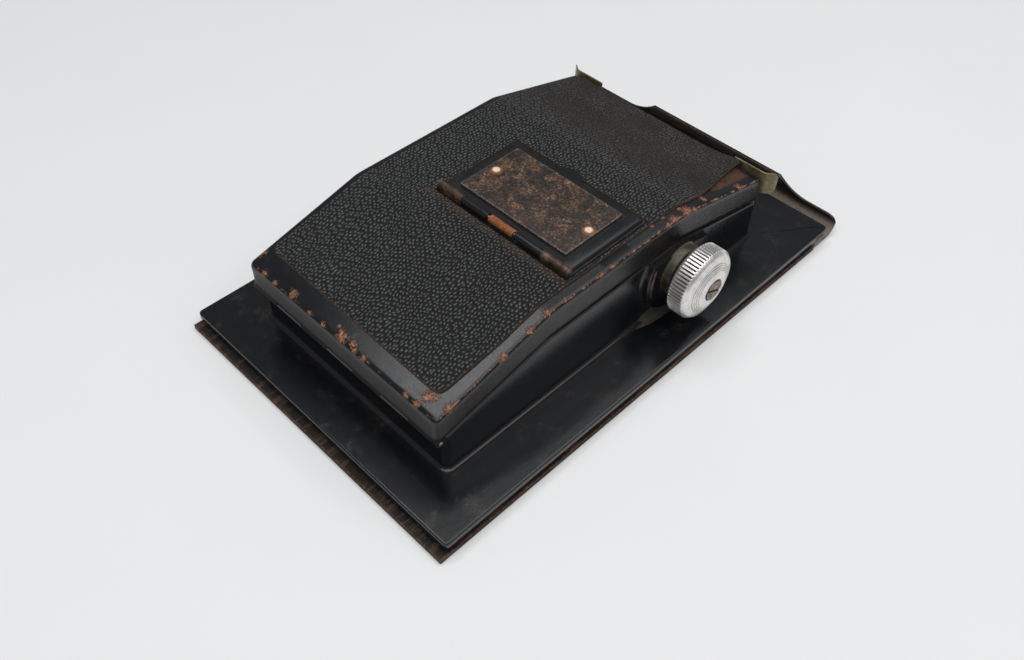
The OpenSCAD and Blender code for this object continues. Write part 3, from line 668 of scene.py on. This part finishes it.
def lathe(profile, centre, axis="Y", steps=64, ribs=0, depth=0.0):
    """A turned solid. The profile is (place along the axis, radius, share of the rib depth)."""
    sections = []
    for along, radius, *share in profile:
        section = []
        for i in range(steps):
            a = 2 * math.pi * i / steps
            r = radius
            if ribs and share:
                u = (i * ribs / steps) % 1.0
                r -= share[0] * depth * max(0.0, math.cos(2 * math.pi * u)) ** 0.7
            c, s = r * math.cos(a), r * math.sin(a)
            x, y, z = centre
            section.append((x + c, along, z + s) if axis == "Y" else (x + c, y + s, along))
        sections.append(section)
    return capped(sections)


def spread(low, high, step, extra=()):
    """Evenly spaced places from low to high, with the extra ones added."""
    count = max(1, round((high - low) / step))
    places = {round(low + (high - low) * i / count, 4) for i in range(count + 1)}
    near = {e for e in extra if low < e < high}
    return sorted({p for p in places if all(abs(p - e) > 0.25 * step for e in near)} | near)


BEND_PLACES = [b + d for b in BEND for d in (-EASE, -1.07, -0.53, 0.0, 0.53, 1.07, EASE)]


# ---- the cover ----


def cover_shell(material):
    slot_low, slot_high = box("red_window")
    window = (slot_low.x + 3, slot_high.x - 3, slot_low.y + 3, slot_high.y - 3)
    xs = spread(-62, 50, 4, BEND_PLACES + list(window[:2]))
    ys = spread(-33, 33, 4)
    xa, xb, half = COVER_LOW.x, COVER_HIGH.x, COVER_HIGH.y
    ease, corner = 1.15, 1.6
    outline = []

    def level(inset, height):
        r = max(corner - 0.9 * inset, 0.4)
        flat = plan(xa + inset, xb - inset, -half + inset, half - inset, r, xs, ys)
        outline.append([(x, y, height(x)) for x, y in flat])

    def bottom(x):
        return top_z(x) - SKIRT - deeper(x, COVER_LOW.x, COVER_HIGH.x)

    level(0.12, lambda x: bottom(x))
    level(0.0, lambda x: bottom(x) + 0.14)
    level(0.0, lambda x: bottom(x) + 0.9)
    level(0.05, lambda x: (bottom(x) + top_z(x)) / 2)
    level(0.0, lambda x: top_z(x) - ease - 0.6)
    for i in range(7):
        a = math.radians(15 * i)
        level(ease * (1 - math.cos(a)), lambda x, a=a: top_z(x) - ease * (1 - math.sin(a)))
    verts, faces = rings(outline)
    start = (len(outline) - 1) * len(outline[0])
    nx, ny, arc = len(xs), len(ys), ARC + 1
    low_side = list(range(nx)) + [nx + i for i in range(arc)]
    high_side = [2 * arc + ny + 2 * nx - 1 - i for i in range(nx)]
    high_side += [nx + 2 * arc + ny - 1 - i for i in range(arc)]
    head_low = [3 * arc + 2 * nx + 2 * ny + i for i in range(arc)]
    head_high = [2 * arc + 2 * nx + ny + arc - 1 - i for i in range(arc)]
    low_row = [start + i for i in head_low + low_side]
    high_row = [start + i for i in head_high + high_side]
    cuts = {}
    for i in range(len(low_row) - 1):
        a, b, c, d = low_row[i], low_row[i + 1], high_row[i + 1], high_row[i]
        xa, xb = verts[a][0], verts[b][0]
        if xa >= window[0] - 0.01 and xb <= window[1] + 0.01:
            for x in (xa, xb):
                if x not in cuts:
                    cuts[x] = (len(verts), len(verts) + 1)
                    verts += [(x, window[2], top_z(x)), (x, window[3], top_z(x))]
            faces += [(a, b, cuts[xb][0], cuts[xa][0]), (cuts[xa][1], cuts[xb][1], c, d)]
        else:
            faces.append((a, b, c, d))
    end_x = [start + nx + arc + i for i in range(ny)]
    end_head = [start + 2 * nx + 3 * arc + ny + i for i in range(ny)]
    faces.append((low_row[-1], *end_x, high_row[-1]))
    faces.append((high_row[0], *end_head, low_row[0]))
    shell = piece("cover_shell", verts, faces, [material], "cover", "lacquer", ["cover"], sharp=50)
    thick = shell.modifiers.new("Thickness", "SOLIDIFY")
    thick.thickness = SHEET * MM
    thick.offset = -1
    return shell


def corner_shift(x, y, ax, bx, ay, by, r):
    """Moves a grid point so that the grid's corners are rounded."""
    cx = min(max(x, ax + r), bx - r)
    cy = min(max(y, ay + r), by - r)
    dx, dy = x - cx, y - cy
    length = math.hypot(dx, dy)
    if not (dx and dy):
        return x, y
    pull = max(abs(dx), abs(dy)) / length
    return cx + dx * pull, cy + dy * pull


def leather_place(x, y, lift):
    """Where a point of the leather lies: the far near-side corner has come unstuck and curls up."""
    t = min(1.0, max(0.0, (x - 27) / 27))
    side = min(1.0, max(0.0, (-y - 12) / 20))
    curl = t * t * (3 - 2 * t) * side * side
    broad = noise.noise(Vector((x * 0.06, y * 0.06, 3.1)))
    wave = 0.10 * broad + 0.04 * noise.noise(Vector((x * 0.3, y * 0.3, 7.7)))
    z = top_z(min(x, COVER_HIGH.x)) + max(0.04, lift + (wave if lift > 0.3 else 0.0)) + 1.5 * curl
    hinge_end = max(0.0, 1 - (x - LEATHER_LOW.x) / 18)
    x += (0.2 + 0.6 * y / 33) * hinge_end
    y += 1.1 * hinge_end
    return x + 0.5 * curl, y + 3.9 * curl + 0.15 * math.sin(0.23 * x) * side * t, z


def cover_leather(surface, edge):
    xa, xb, ya, yb = LEATHER_LOW.x, LEATHER_HIGH.x, LEATHER_LOW.y, LEATHER_HIGH.y
    frame_low, frame_high = box("window_frame")
    hole = (frame_low.x - 0.6, frame_high.x + 0.6, frame_low.y - 0.4, frame_high.y + 0.4)
    xs = spread(xa, xb, 1.3, BEND_PLACES + [hole[0], hole[1], xa + 0.3, xb - 0.3])
    ys = spread(ya, yb, 1.3, [hole[2], hole[3], yb - 0.3])
    thick = LEATHER_HIGH.z - COVER_HIGH.z
    index, verts, faces, second = {}, [], [], []

    def vertex(i, j, layer):
        key = (i, j, layer)
        if key not in index:
            x, y = xs[i], ys[j]
            rim = min(x - xa, xb - x, y - ya, yb - y)
            x, y = corner_shift(x, y, xa, xb, ya, yb, 2.7)
            lift = 0.04 if layer else thick - (0.14 if rim < 0.05 else 0.0)
            index[key] = len(verts)
            verts.append(leather_place(x, y, lift))
        return index[key]

    def kept(i, j):
        if not (0 <= i < len(xs) - 1 and 0 <= j < len(ys) - 1):
            return False
        x, y = (xs[i] + xs[i + 1]) / 2, (ys[j] + ys[j + 1]) / 2
        return not (hole[0] < x < hole[1] and hole[2] < y < hole[3])

    for i in range(len(xs) - 1):
        for j in range(len(ys) - 1):
            if not kept(i, j):
                continue
            corners = [(i, j), (i + 1, j), (i + 1, j + 1), (i, j + 1)]
            faces.append([vertex(a, b, 0) for a, b in corners])
            faces.append([vertex(a, b, 1) for a, b in reversed(corners)])
            neighbours = [(i, j - 1), (i + 1, j), (i, j + 1), (i - 1, j)]
            for k, (ni, nj) in enumerate(neighbours):
                if not kept(ni, nj):
                    p, q = corners[k], corners[(k + 1) % 4]
                    second.append(len(faces))
                    faces.append([vertex(*q, 0), vertex(*p, 0), vertex(*p, 1), vertex(*q, 1)])
    stands = ["cover_leather"]
    piece("leather_panel", verts, faces, [surface, edge], "cover", "leather", stands, 55, second)


# ---- the tray and its boss ----


def tray_shell(material):
    xs = spread(-62, 50, 4, BEND_PLACES)
    ys = spread(-33, 33, 4)
    xa, xb, half = TRAY_LOW.x + 1.2, TRAY_HIGH.x - 1.2, TRAY_HALF
    inner = (xa + 0.4, xb - 1.4, half - 0.85)
    loops = []

    def ledge(x):
        return top_z(x) - LEDGE - deeper(x, xa, xb)

    def level(inset, height, corner=1.6):
        flat = plan(xa + inset, xb - inset, -half + inset, half - inset, max(corner - inset, 0.3), xs, ys)
        loops.append([(x, y, height(x)) for x, y in flat])

    def inner_level(inset, height):
        a, b, y = inner[0] + inset, inner[1] - inset, inner[2] - inset
        flat = plan(a, b, -y, y, max(1.0 - inset, 0.3), xs, ys)
        loops.append([(x, y, height(x)) for x, y in flat])

    foot = [
        (-1.2, 0.0), (-1.15, 0.22), (-0.85, 0.45), (-0.45, 0.62), (-0.16, 1.0), (-0.03, 1.6), (0.0, 2.4)]
    for inset, rise in foot:
        level(inset, lambda x, rise=rise: FLANGE_TOP + rise)
    for inset, drop in ((0.0, 0.55), (0.06, 0.25), (0.2, 0.07), (0.36, 0.0)):
        level(inset, lambda x, drop=drop: ledge(x) - drop)
    inner_level(0.0, ledge)
    inner_level(0.0, lambda x: top_z(x) - SHEET - 1.15)
    inner_level(0.15, lambda x: top_z(x) - SHEET - 1.0)
    inner_level(0.65, lambda x: top_z(x) - SHEET - 1.0)
    inner_level(SHEET, lambda x: top_z(x) - SHEET - 1.15)
    inner_level(SHEET, lambda x: ledge(x) - SHEET)
    level(SHEET + 0.65, lambda x: ledge(x) - SHEET)
    level(SHEET, lambda x: ledge(x) - SHEET - 0.6)
    level(SHEET, lambda x: FLANGE_TOP)
    verts, faces = rings(loops, closed=True)
    piece("tray_shell", verts, faces, [material], "base", "lacquer", ["tray"], sharp=50)


def boss(material):
    """The drum round the winding shaft, flat on top under the ledge."""
    wall, face, r = 0.05 - TRAY_HALF, -37.7, 12.6
    ledge = TOP - LEDGE - SKIRT_MORE - 0.02
    profile = [
        (wall, r + 1.0), (wall - 0.12, r + 0.55), (wall - 0.4, r + 0.2), (wall - 0.8, r), (face + 0.55, r),
        (face + 0.25, r - 0.10), (face + 0.07, r - 0.30), (face, r - 0.6), (face, 8.6), (face - 0.12, 8.2),
        (face - 0.12, 2.2)]
    verts, faces = lathe(profile, (KNOB_X, 0, KNOB_Z), "Y", 96)
    mesh = bpy.data.meshes.new("tray_boss")
    mesh.from_pydata([tuple(c * MM for c in v) for v in verts], [], faces)
    bm = bmesh.new()
    bm.from_mesh(mesh)
    slope = math.atan((LATCH_END_Z - TOP) / (COVER_HIGH.x - BEND[1]))
    cuts = [
        (Vector((0, 0, ledge)), Vector((0, 0, 1))),
        (Vector((BEND[1], 0, ledge)), Vector((-math.sin(slope), 0, math.cos(slope)))),
        (Vector((0, 0, FLANGE_TOP + 0.05)), Vector((0, 0, -1)))]
    for place, out in cuts:
        every = list(bm.verts) + list(bm.edges) + list(bm.faces)
        cut = bmesh.ops.bisect_plane(bm, geom=every, plane_co=place * MM, plane_no=out, clear_outer=True)
        rim = [e for e in cut["geom_cut"] if isinstance(e, bmesh.types.BMEdge)]
        if rim:
            bmesh.ops.contextual_create(bm, geom=rim)
    bm.to_mesh(mesh)
    bm.free()
    obj = finish_piece("tray_boss", mesh, [material], "base", (), 30)
    bevel(obj, 0.18, 2, 40)


def boss_foot(material):
    """Solder bead that runs from under the boss on to the flange."""
    root = 0.1 - TRAY_HALF
    stations, arc, sections = 40, 10, []
    for i in range(stations + 1):
        t = i / stations
        x = KNOB_X - 14.5 + 27 * t
        swell = math.sin(math.pi * t) ** 0.55
        bulge = 1.0 + 0.12 * noise.noise(Vector((x * 0.35, 1.0, 0.0)))
        reach, height = 0.9 + 2.7 * swell * bulge, 0.5 + 2.6 * swell * bulge
        section = []
        for k in range(arc + 1):
            a = math.pi / 2 * k / arc
            y = root - reach * (1 - math.cos(a)) ** 0.8
            section.append((x, y, FLANGE_TOP + height * (1 - math.sin(a)) ** 1.25))
        sections.append(section + [(x, root, FLANGE_TOP - 0.1)])
    piece("boss_foot", *capped(sections), [material], "base", "lacquer", sharp=60)


def boss_lip(material):
    """Raised crescent on the boss's hinge-side rim."""
    stations, side, sections = 28, 8, []
    for i in range(stations + 1):
        t = i / stations
        a = math.radians(152 + 50 * t)
        width = 0.12 + 0.62 * math.sin(math.pi * t) ** 0.8
        section = []
        for k in range(side):
            b = 2 * math.pi * k / side
            r = 11.2 + width * math.cos(b)
            y = -37.72 - 0.75 * width * math.sin(b)
            section.append((KNOB_X + r * math.cos(a), y, KNOB_Z + r * math.sin(a)))
        sections.append(section)
    piece("boss_lip", *capped(sections), [material], "base", "lacquer", sharp=60)


# ---- the flange and the dark slide ----


def flange(material):
    step_x = FLANGE_HIGH.x - 6
    xs = spread(-74, 72, 6, [step_x - 0.15, step_x + 0.15])
    ys = spread(-32, 32, 5)
    xa, xb, half = FLANGE_LOW.x, FLANGE_HIGH.x, FLANGE_HIGH.y
    loops = []

    def level(inset, height, cut=None):
        flat = plan(xa + inset, xb - inset, -half + inset, half - inset, max(1.3 - inset, 0.35), xs, ys)
        loops.append([(x, y, max(height, cut) if cut and x > step_x else height) for x, y in flat])

    thin = FLANGE_TOP - SHEET
    level(SHEET, 3.2, thin)
    level(0.1, 3.2, thin)
    level(0.0, 3.3, thin + 0.05)
    level(0.0, 4.45, thin + 0.1)
    for inset, drop in ((0.03, 0.32), (0.12, 0.14), (0.26, 0.04), (0.42, 0.0), (0.6, 0.0), (3.0, 0.0)):
        level(inset, FLANGE_TOP - drop)
    hole = (TRAY_LOW.x + 2.0, TRAY_HIGH.x - 2.0, 34.7)
    share = (hole[1] - hole[0] - 1) / (xs[-1] - xs[0])
    hole_xs = [hole[0] + 0.5 + share * (x - xs[0]) for x in xs]
    for z in (FLANGE_TOP, thin):
        flat = plan(hole[0], hole[1], -hole[2], hole[2], 0.4, hole_xs, ys)
        loops.append([(x, y, z) for x, y in flat])
    level(SHEET, thin - 0.001, thin)
    verts, faces = rings(loops, closed=True)
    piece("flange", verts, faces, [material], "base", "lacquer", ["flange_plate"], sharp=50)


def grip_height(y):
    """Height of the handle's rim at y: low at the sides, raised in S-curves for the fingers."""
    low, high = 6.2, 10.2
    t = max(0.0, min((y + 40) / 11.4, (32 - y) / 10.7, 1.0))
    height = low + (high - low) * t ** 2.2
    end = max(0.0, abs(y) - 46.8) / 3.2
    return height - 2.6 * (1 - math.sqrt(max(0.0, 1 - end * end)))


def slide_handle(material):
    """The slide's flared handle: a curled sheet with a rolled rim."""
    rim = box("dark_slide")[1].x
    root = rim - 5
    ends = (48.4, 49.1, 49.6, 49.9)
    ys = spread(-50, 50, 1.6, [-28.6, -28.2, 20.9, 21.3, *ends, *[-y for y in ends]])
    curve = [(0.0, 0.0), (0.30, 0.04), (0.55, 0.13), (0.76, 0.30), (0.90, 0.52), (0.97, 0.76), (1.0, 1.0)]
    sections = []
    for y in ys:
        top = grip_height(y)
        hem = min(1.0, max(0.0, (top - 8.6) / 1.6))
        inner = [(root - 0.4 + (rim - 0.85 - root + 0.4) * u, 1.15 + (top - 1.15) * v) for u, v in curve]
        outer = [(root - 0.4 + (rim - root + 0.4) * u, 0.25 + (top - 0.25) * v) for u, v in curve]
        bead = 0.55 * hem
        roll = [
            (rim - 0.85 - bead, top - 2.2 * hem - 0.12), (rim - 0.85 - bead, top - 0.35),
            (rim - 0.75 - bead * 0.8, top - 0.08), (rim - 0.5, top), (rim - 0.18, top - 0.05),
            (rim - 0.02, top - 0.3)]
        fold = (rim - 0.88, top - 2.2 * hem - 0.14) if hem > 0.01 else (rim - 0.85, top - 0.14)
        section = inner[:-1] + [fold] + roll + outer[-2::-1]
        sections.append([(x, y, z) for x, z in section])
    piece("slide_handle", *capped(sections), [material], "slide", "lacquer", ["dark_slide"], sharp=42)


def slab(name, low, high, r, ease, material, body, slot_name, stands_for=()):
    """A flat plate with rounded corners and eased edges."""
    xa, ya, za = low
    xb, yb, zb = high
    xs = spread(xa + r + 0.4, xb - r - 0.4, max(3.0, (xb - xa) / 24))
    ys = spread(ya + r + 0.4, yb - r - 0.4, max(3.0, (yb - ya) / 24))
    nearly = 0.3 * ease
    levels = [(ease, za), (nearly, za + nearly), (0, za + ease), (0, zb - ease), (nearly, zb - nearly)]
    loops = []
    for inset, z in levels + [(ease, zb)]:
        flat = plan(xa + inset, xb - inset, ya + inset, yb - inset, max(r - inset, 0.1), xs, ys)
        loops.append([(x, y, z) for x, y in flat])
    piece(name, *capped(loops), [material], body, slot_name, stands_for, sharp=40)


def slide_sheet(material):
    """The flat sheet and the thick strip where the handle is joined on."""
    low, high = box("dark_slide")
    ends = (low.x, -SLIDE_HALF, 1.75), (high.x - 5, SLIDE_HALF, 2.35)
    slab("slide_sheet", *ends, 2.0, 0.12, material, "slide", "lacquer")
    ends = (high.x - 10.8, low.y, 0.2), (high.x - 5.2, high.y, 3.0)
    slab("slide_shoulder", *ends, 1.2, 0.35, material, "slide", "lacquer")


# ---- window door ----


def door_spring(material):
    low, high = box("door_spring")
    centre_x, centre_z = (low.x + high.x) / 2, (low.z + high.z) / 2
    wire, turns, around, ring = 0.28, 15, 20, 8
    coil = (high.x - low.x) / 2 - wire
    pitch = (high.y - low.y - 2 * wire) / turns
    sections = []
    for i in range(turns * around + 1):
        a = 2 * math.pi * i / around
        y = low.y + wire + pitch * i / around
        section = []
        for k in range(ring):
            b = 2 * math.pi * k / ring
            r = coil + wire * math.cos(b)
            section.append((centre_x + r * math.cos(a), y + wire * math.sin(b), centre_z + r * math.sin(a)))
        sections.append(section)
    node = "door_spring"
    piece("door_coil_spring", *capped(sections), [material], BODY[node], SLOT[node], [node], 60)


def door_details(black, rust, cream):
    low, high = box("window_door")
    refined("window_door", black, 0.24)
    ends = (low.x + 1.2, low.y + 0.1, 36.95), (high.x - 3.0, low.y + 3.4, 37.5)
    slab("door_fold", *ends, 0.5, 0.3, black, "door", "lacquer")
    plate_low, plate_high = box("door_plate")
    node = "door_plate"
    slab("door_plate_fine", plate_low, plate_high, 0.5, 0.28, rust, "door", SLOT[node], [node])
    rivet_low, rivet_high = box("door_rivets")
    x = (rivet_low.x + rivet_high.x) / 2
    z = plate_high.z - 0.05
    dome = [(-0.5, 0.9), (0, 1.26), (0.16, 1.28), (0.27, 1.12), (0.36, 0.75), (0.39, 0.35)]
    profile = [(z + rise, r) for rise, r in dome]
    near, far = rivet_low.y + RIVET_EDGE, rivet_high.y - RIVET_EDGE
    for name, y, stands in (("door_rivet_near", near, ["door_rivets"]), ("door_rivet_far", far, ())):
        turned = lathe(profile, (x, y, 0), "Z", 32)
        piece(name, *turned, [cream], "door", SLOT["door_rivets"], stands, 50)


# ---- latches ----


def latch_tongue(name, node, side, material):
    """Thin brass tongue whose ear curls away from the box."""
    low, high = box(node)
    x, thick, bend_r, turn = 55.25, 0.2, 2.4, 38
    start = min(abs(low.y), abs(high.y)) + 0.05
    bend = start + 9.4
    ear_z = high.z - 7
    path, bottoms = [], []
    for i in range(9):
        path.append((x, start + (bend - start) * i / 8))
        bottoms.append(low.z if i < 7 else ear_z)
    for i in range(1, 9):
        a = math.radians(turn * i / 8)
        path.append((x + bend_r * (1 - math.cos(a)), bend + bend_r * math.sin(a)))
        bottoms.append(ear_z)
    tip_x, tip_y = path[-1]
    for i in range(1, 8):
        s = 3.0 * i / 7
        a = math.radians(turn + 5 * i / 7)
        path.append((tip_x + s * math.sin(a), tip_y + s * math.cos(a)))
        bottoms.append(ear_z + 1.6 * (i / 7) ** 4)
    rows, verts, faces = 7, [], []
    for i, ((px, py), bottom) in enumerate(zip(path, bottoms)):
        qx, qy = path[min(i + 1, len(path) - 1)]
        rx, ry = path[max(i - 1, 0)]
        length = math.hypot(qx - rx, qy - ry)
        nx, ny = (qy - ry) / length, -(qx - rx) / length
        ear = max(0.0, (i - 16) / 7)
        top = high.z - 1.3 * ear ** 4
        ripple = 0.10 * noise.noise(Vector((py * 0.4, side * 3.0, 2.0)))
        for face in (1, -1):
            for k in range(rows + 1):
                v = k / rows
                z = bottom + (top - bottom) * v
                bow = 0.12 * math.sin(3.1 * v + py * 0.3) * ear + ripple * v
                verts.append((px + nx * thick * face + bow, side * (py + ny * thick * face), z))
    cols, per = len(path), 2 * (rows + 1)

    def at(i, f, k):
        return i * per + f * (rows + 1) + k

    for i in range(cols - 1):
        for k in range(rows):
            faces.append((at(i, 0, k), at(i + 1, 0, k), at(i + 1, 0, k + 1), at(i, 0, k + 1)))
            faces.append((at(i, 1, k), at(i, 1, k + 1), at(i + 1, 1, k + 1), at(i + 1, 1, k)))
        for k in (0, rows):
            faces.append((at(i, 0, k), at(i, 1, k), at(i + 1, 1, k), at(i + 1, 0, k)))
    for i in (0, cols - 1):
        for k in range(rows):
            faces.append((at(i, 0, k), at(i, 0, k + 1), at(i, 1, k + 1), at(i, 1, k)))
    obj = piece(name, verts, faces, [material], BODY[node], SLOT[node], [node], 40)
    bevel(obj, 0.08, 2, 50)


# ---- winding knob ----


def knob(material):
    low, high = box("winding_knob")
    back, r = high.y, (high.x - low.x) / 2
    front = low.y + 1.7
    profile = [
        (back, 2.05, 0), (back, 6.0, 0), (back - 0.05, r - 1.5, 0), (back - 0.25, r - 1.0, 0),
        (back - 0.85, r - 0.22, 0), (back - 1.05, r - 0.05, 0), (back - 1.12, r, 0.4), (back - 1.35, r, 1.0),
        (back - 2.6, r, 1.0), (back - 4.1, r, 1.0), (front + 1.45, r, 1.0), (front + 1.2, r - 0.02, 0.7),
        (front + 1.0, r - 0.12, 0.1), (front + 0.9, r - 0.2, 0.0), (front + 0.35, r - 0.62, 0.0),
        (front, r - 1.0, 0.0), (front - 0.08, r - 1.3, 0.0)]
    crown = [(r - 1.3, 0.08), (r - 2.6, 0.48), (r * 0.55, 1.42), (4.6, 1.58), (3.5, 1.68), (3.2, 1.7)]

    def face_at(radius):
        for (ra, ya), (rb, yb) in zip(crown, crown[1:]):
            if rb <= radius <= ra:
                return ya + (yb - ya) * (ra - radius) / (ra - rb)
        return crown[-1][1]

    radius, ribs = r - 1.45, 64
    grooves, groove_depth = (7.35, 6.8, 6.25, 5.7), 0.13
    while radius > 3.25:
        cut = max(max(0.0, 1 - abs(radius - g) / groove_depth) for g in grooves)
        profile.append((front - face_at(radius) + groove_depth * cut, radius, 0.0))
        radius -= 0.1
    profile += [(front - 1.68, 3.25, 0.0), (front - 1.5, 3.12, 0.0), (front - 0.5, 3.1, 0.0)]
    profile.append((front - 0.5, 2.05, 0.0))
    turned = lathe(profile, (KNOB_X, 0, KNOB_Z), "Y", ribs * 8, ribs, 0.55)
    piece("knob", *turned, [material], "winder", SLOT["winding_knob"], ["winding_knob"], 60)


def bush(material, inside):
    """Dished bush behind the knob."""
    low = box("shaft_bush")[0]
    rim, r = -40.2, 7.3
    profile = [
        (-37.6, 2.2), (-37.6, r + 0.5), (-37.85, r + 0.12), (-38.3, r), (rim + 0.5, r), (rim + 0.2, r - 0.1),
        (rim, r - 0.35), (rim + 0.02, r - 0.75), (rim + 0.25, r - 1.0), (-38.95, r - 1.7), (-38.7, 4.6),
        (-38.8, 3.8), (-39.3, 3.5), (low.y + 0.2, 3.5), (low.y, 3.3), (low.y, 2.1)]
    steps = 72
    dished = range(steps * 8, steps * 13)
    turned = lathe(profile, (KNOB_X, 0, KNOB_Z), "Y", steps)
    piece("bush", *turned, [material, inside], "base", SLOT["shaft_bush"], ["shaft_bush"], 50, dished)


# ---- stage ----


def floor(material):
    mesh = bpy.data.meshes.new("floor")
    bm = bmesh.new()
    bmesh.ops.create_grid(bm, x_segments=8, y_segments=8, size=2.5)
    bm.to_mesh(mesh)
    bm.free()
    mesh.materials.append(material)
    added("floor", mesh)


def area_light(name, place, target, size, power):
    data = bpy.data.lights.new(name, "AREA")
    data.shape = "RECTANGLE"
    data.size, data.size_y = size
    data.energy = power
    obj = added(name, data)
    obj.location = place
    obj.rotation_euler = (Vector(place) - Vector(target)).to_track_quat("Z", "Y").to_euler()


def lighting():
    world = bpy.data.worlds.new("studio")
    world.use_nodes = True
    background = world.node_tree.nodes["Background"]
    background.inputs["Color"].default_value = (0.96, 0.98, 1.0, 1.0)
    background.inputs["Strength"].default_value = 0.20
    bpy.context.scene.world = world
    area_light("overhead", (-0.1, -0.32, 1.0), (-0.1, -0.32, 0.0), (1.8, 1.4), 14.4)
    area_light("key", (-0.03, 0.425, 0.984), (-0.06, -0.03, 0.0), (0.32, 0.16), 0.9)
    bpy.context.scene.view_settings.view_transform = "Standard"


def camera():
    place = Vector((-147.76, -138.21, 200.36)) * MM
    target = Vector((-18.067, -10.555, 0.0)) * MM
    back = (place - target).normalized()
    across = Vector((0, 0, 1)).cross(back).normalized()
    up = back.cross(across)
    roll = 0.0175
    x_axis = across * math.cos(roll) + up * math.sin(roll)
    y_axis = up * math.cos(roll) - across * math.sin(roll)
    data = bpy.data.cameras.new("camera")
    data.sensor_width = 36.0
    data.lens = 34.63
    data.clip_start = 0.01
    obj = added("camera", data)
    turned = Matrix((x_axis, y_axis, back)).transposed().to_4x4()
    obj.matrix_world = Matrix.Translation(place) @ turned
    bpy.context.scene.camera = obj


# ---- assembly ----


def make_base(black, frame_finish, steel, plated, brass):
    flange(black)
    for node, material, width in (
            ("guide_frame", frame_finish, 0.18), ("slide_rails", frame_finish, 0.15),
            ("gate_plate", black, 0.12),
            ("tray_hinge_leaf", black, 0.15), ("hinge_pin", steel, 0.08), ("pull_pin_bushes", plated, 0.2),
            ("latch_base", brass, 0.08), ("latch_rivets", brass, 0.2), ("pawl_spring", steel, 0.06),
            ("pawl_rivet", steel, 0.06), ("supply_pivot", steel, 0.06), ("roller_axles", steel, 0.06),
            ("spring_rivets", steel, 0.06), ("pressure_springs", steel, 0.06),
            ("spring_bridge", black, 0.12)):
        refined(node, material, width)


def make_movers(black, brown, steel, plated, spool, brass, screw):
    refined("cover_hinge_leaf", black, 0.15)
    refined("window_frame", black, 0.14, brown, lambda centre: centre.x < -18.45)
    for node, material, width in (
            ("door_pin", steel, 0.06), ("winding_shaft", steel, 0.08), ("ratchet_wheel", brass, 0.06),
            ("knob_screw", screw, 0.14), ("takeup_spool", spool, 0.12), ("supply_spool", spool, 0.12),
            ("takeup_pull_pin", plated, 0.2), ("supply_pull_pin", plated, 0.2),
            ("takeup_pin_spring", steel, 0.06), ("supply_pin_spring", steel, 0.06),
            ("roller_hinge_end", plated, 0.15), ("roller_latch_end", plated, 0.15),
            ("pressure_plate", black, 0.2)):
        refined(node, material, width)


def build():
    black = lacquer("black_lacquer", 0.17, 0.24, 0.5, 0.45)
    inner_black = lacquer("inner_lacquer", 0.30, 0.30, 0.4)
    tray_black = lacquer("tray_lacquer", 0.15, 0.26, 0.1, 0.1)
    door_black = lacquer("door_lacquer", 0.22, 0.22, 0.05, 0.15, 0.4)
    dusty = lacquer("dusty_lacquer", 0.35, 0.8, 0.2, 0.5, film=0.7)
    frame_finish = frame_metal()
    brown = knuckle_brown()
    tones = (0.20, 0.19, 0.18), (0.42, 0.41, 0.40), (0.56, 0.55, 0.54)
    steel = worn_metal("steel", *tones, 0.95, 0.30)
    tones = (0.090, 0.076, 0.038), (0.21, 0.178, 0.098), (0.33, 0.290, 0.175)
    brass = worn_metal("olive_brass", *tones, 0.45, 0.45)
    tones = (0.016, 0.016, 0.013), (0.050, 0.045, 0.026), (0.12, 0.105, 0.06)
    olive = worn_metal("olive_bush", *tones, 0.2, 0.38)
    tones = (0.010, 0.012, 0.015), (0.030, 0.036, 0.044), (0.075, 0.085, 0.095)
    dish = worn_metal("bush_inside", *tones, 0.1, 0.25)
    tones = (0.060, 0.045, 0.032), (0.16, 0.125, 0.095), (0.34, 0.29, 0.24)
    screw = worn_metal("screw_steel", *tones, 0.8, 0.36)
    plated = nickel()
    floor(floor_paper())
    lighting()
    camera()
    make_base(black, frame_finish, steel, plated, brass)
    make_movers(inner_black, brown, steel, plated, spool_paint(), brass, screw)
    cover_shell(cover_lacquer())
    cover_leather(leather(), leather_edge())
    tray_shell(tray_black)
    boss(tray_black)
    boss_foot(dusty)
    boss_lip(brown)
    handle = handle_metal()
    slide_handle(handle)
    slide_sheet(handle)
    refined("slide_velvet", velvet(), 0.08)
    refined("red_window", red_glass(), 0.08)
    door_details(door_black, rusty_plate(), rivet_paint())
    door_spring(spring_rust())
    latch_tongue("latch_tongue_near", "latch_near", -1, brass)
    latch_tongue("latch_tongue_far", "latch_far", 1, brass)
    knob(plated)
    bush(olive, dish)


build()
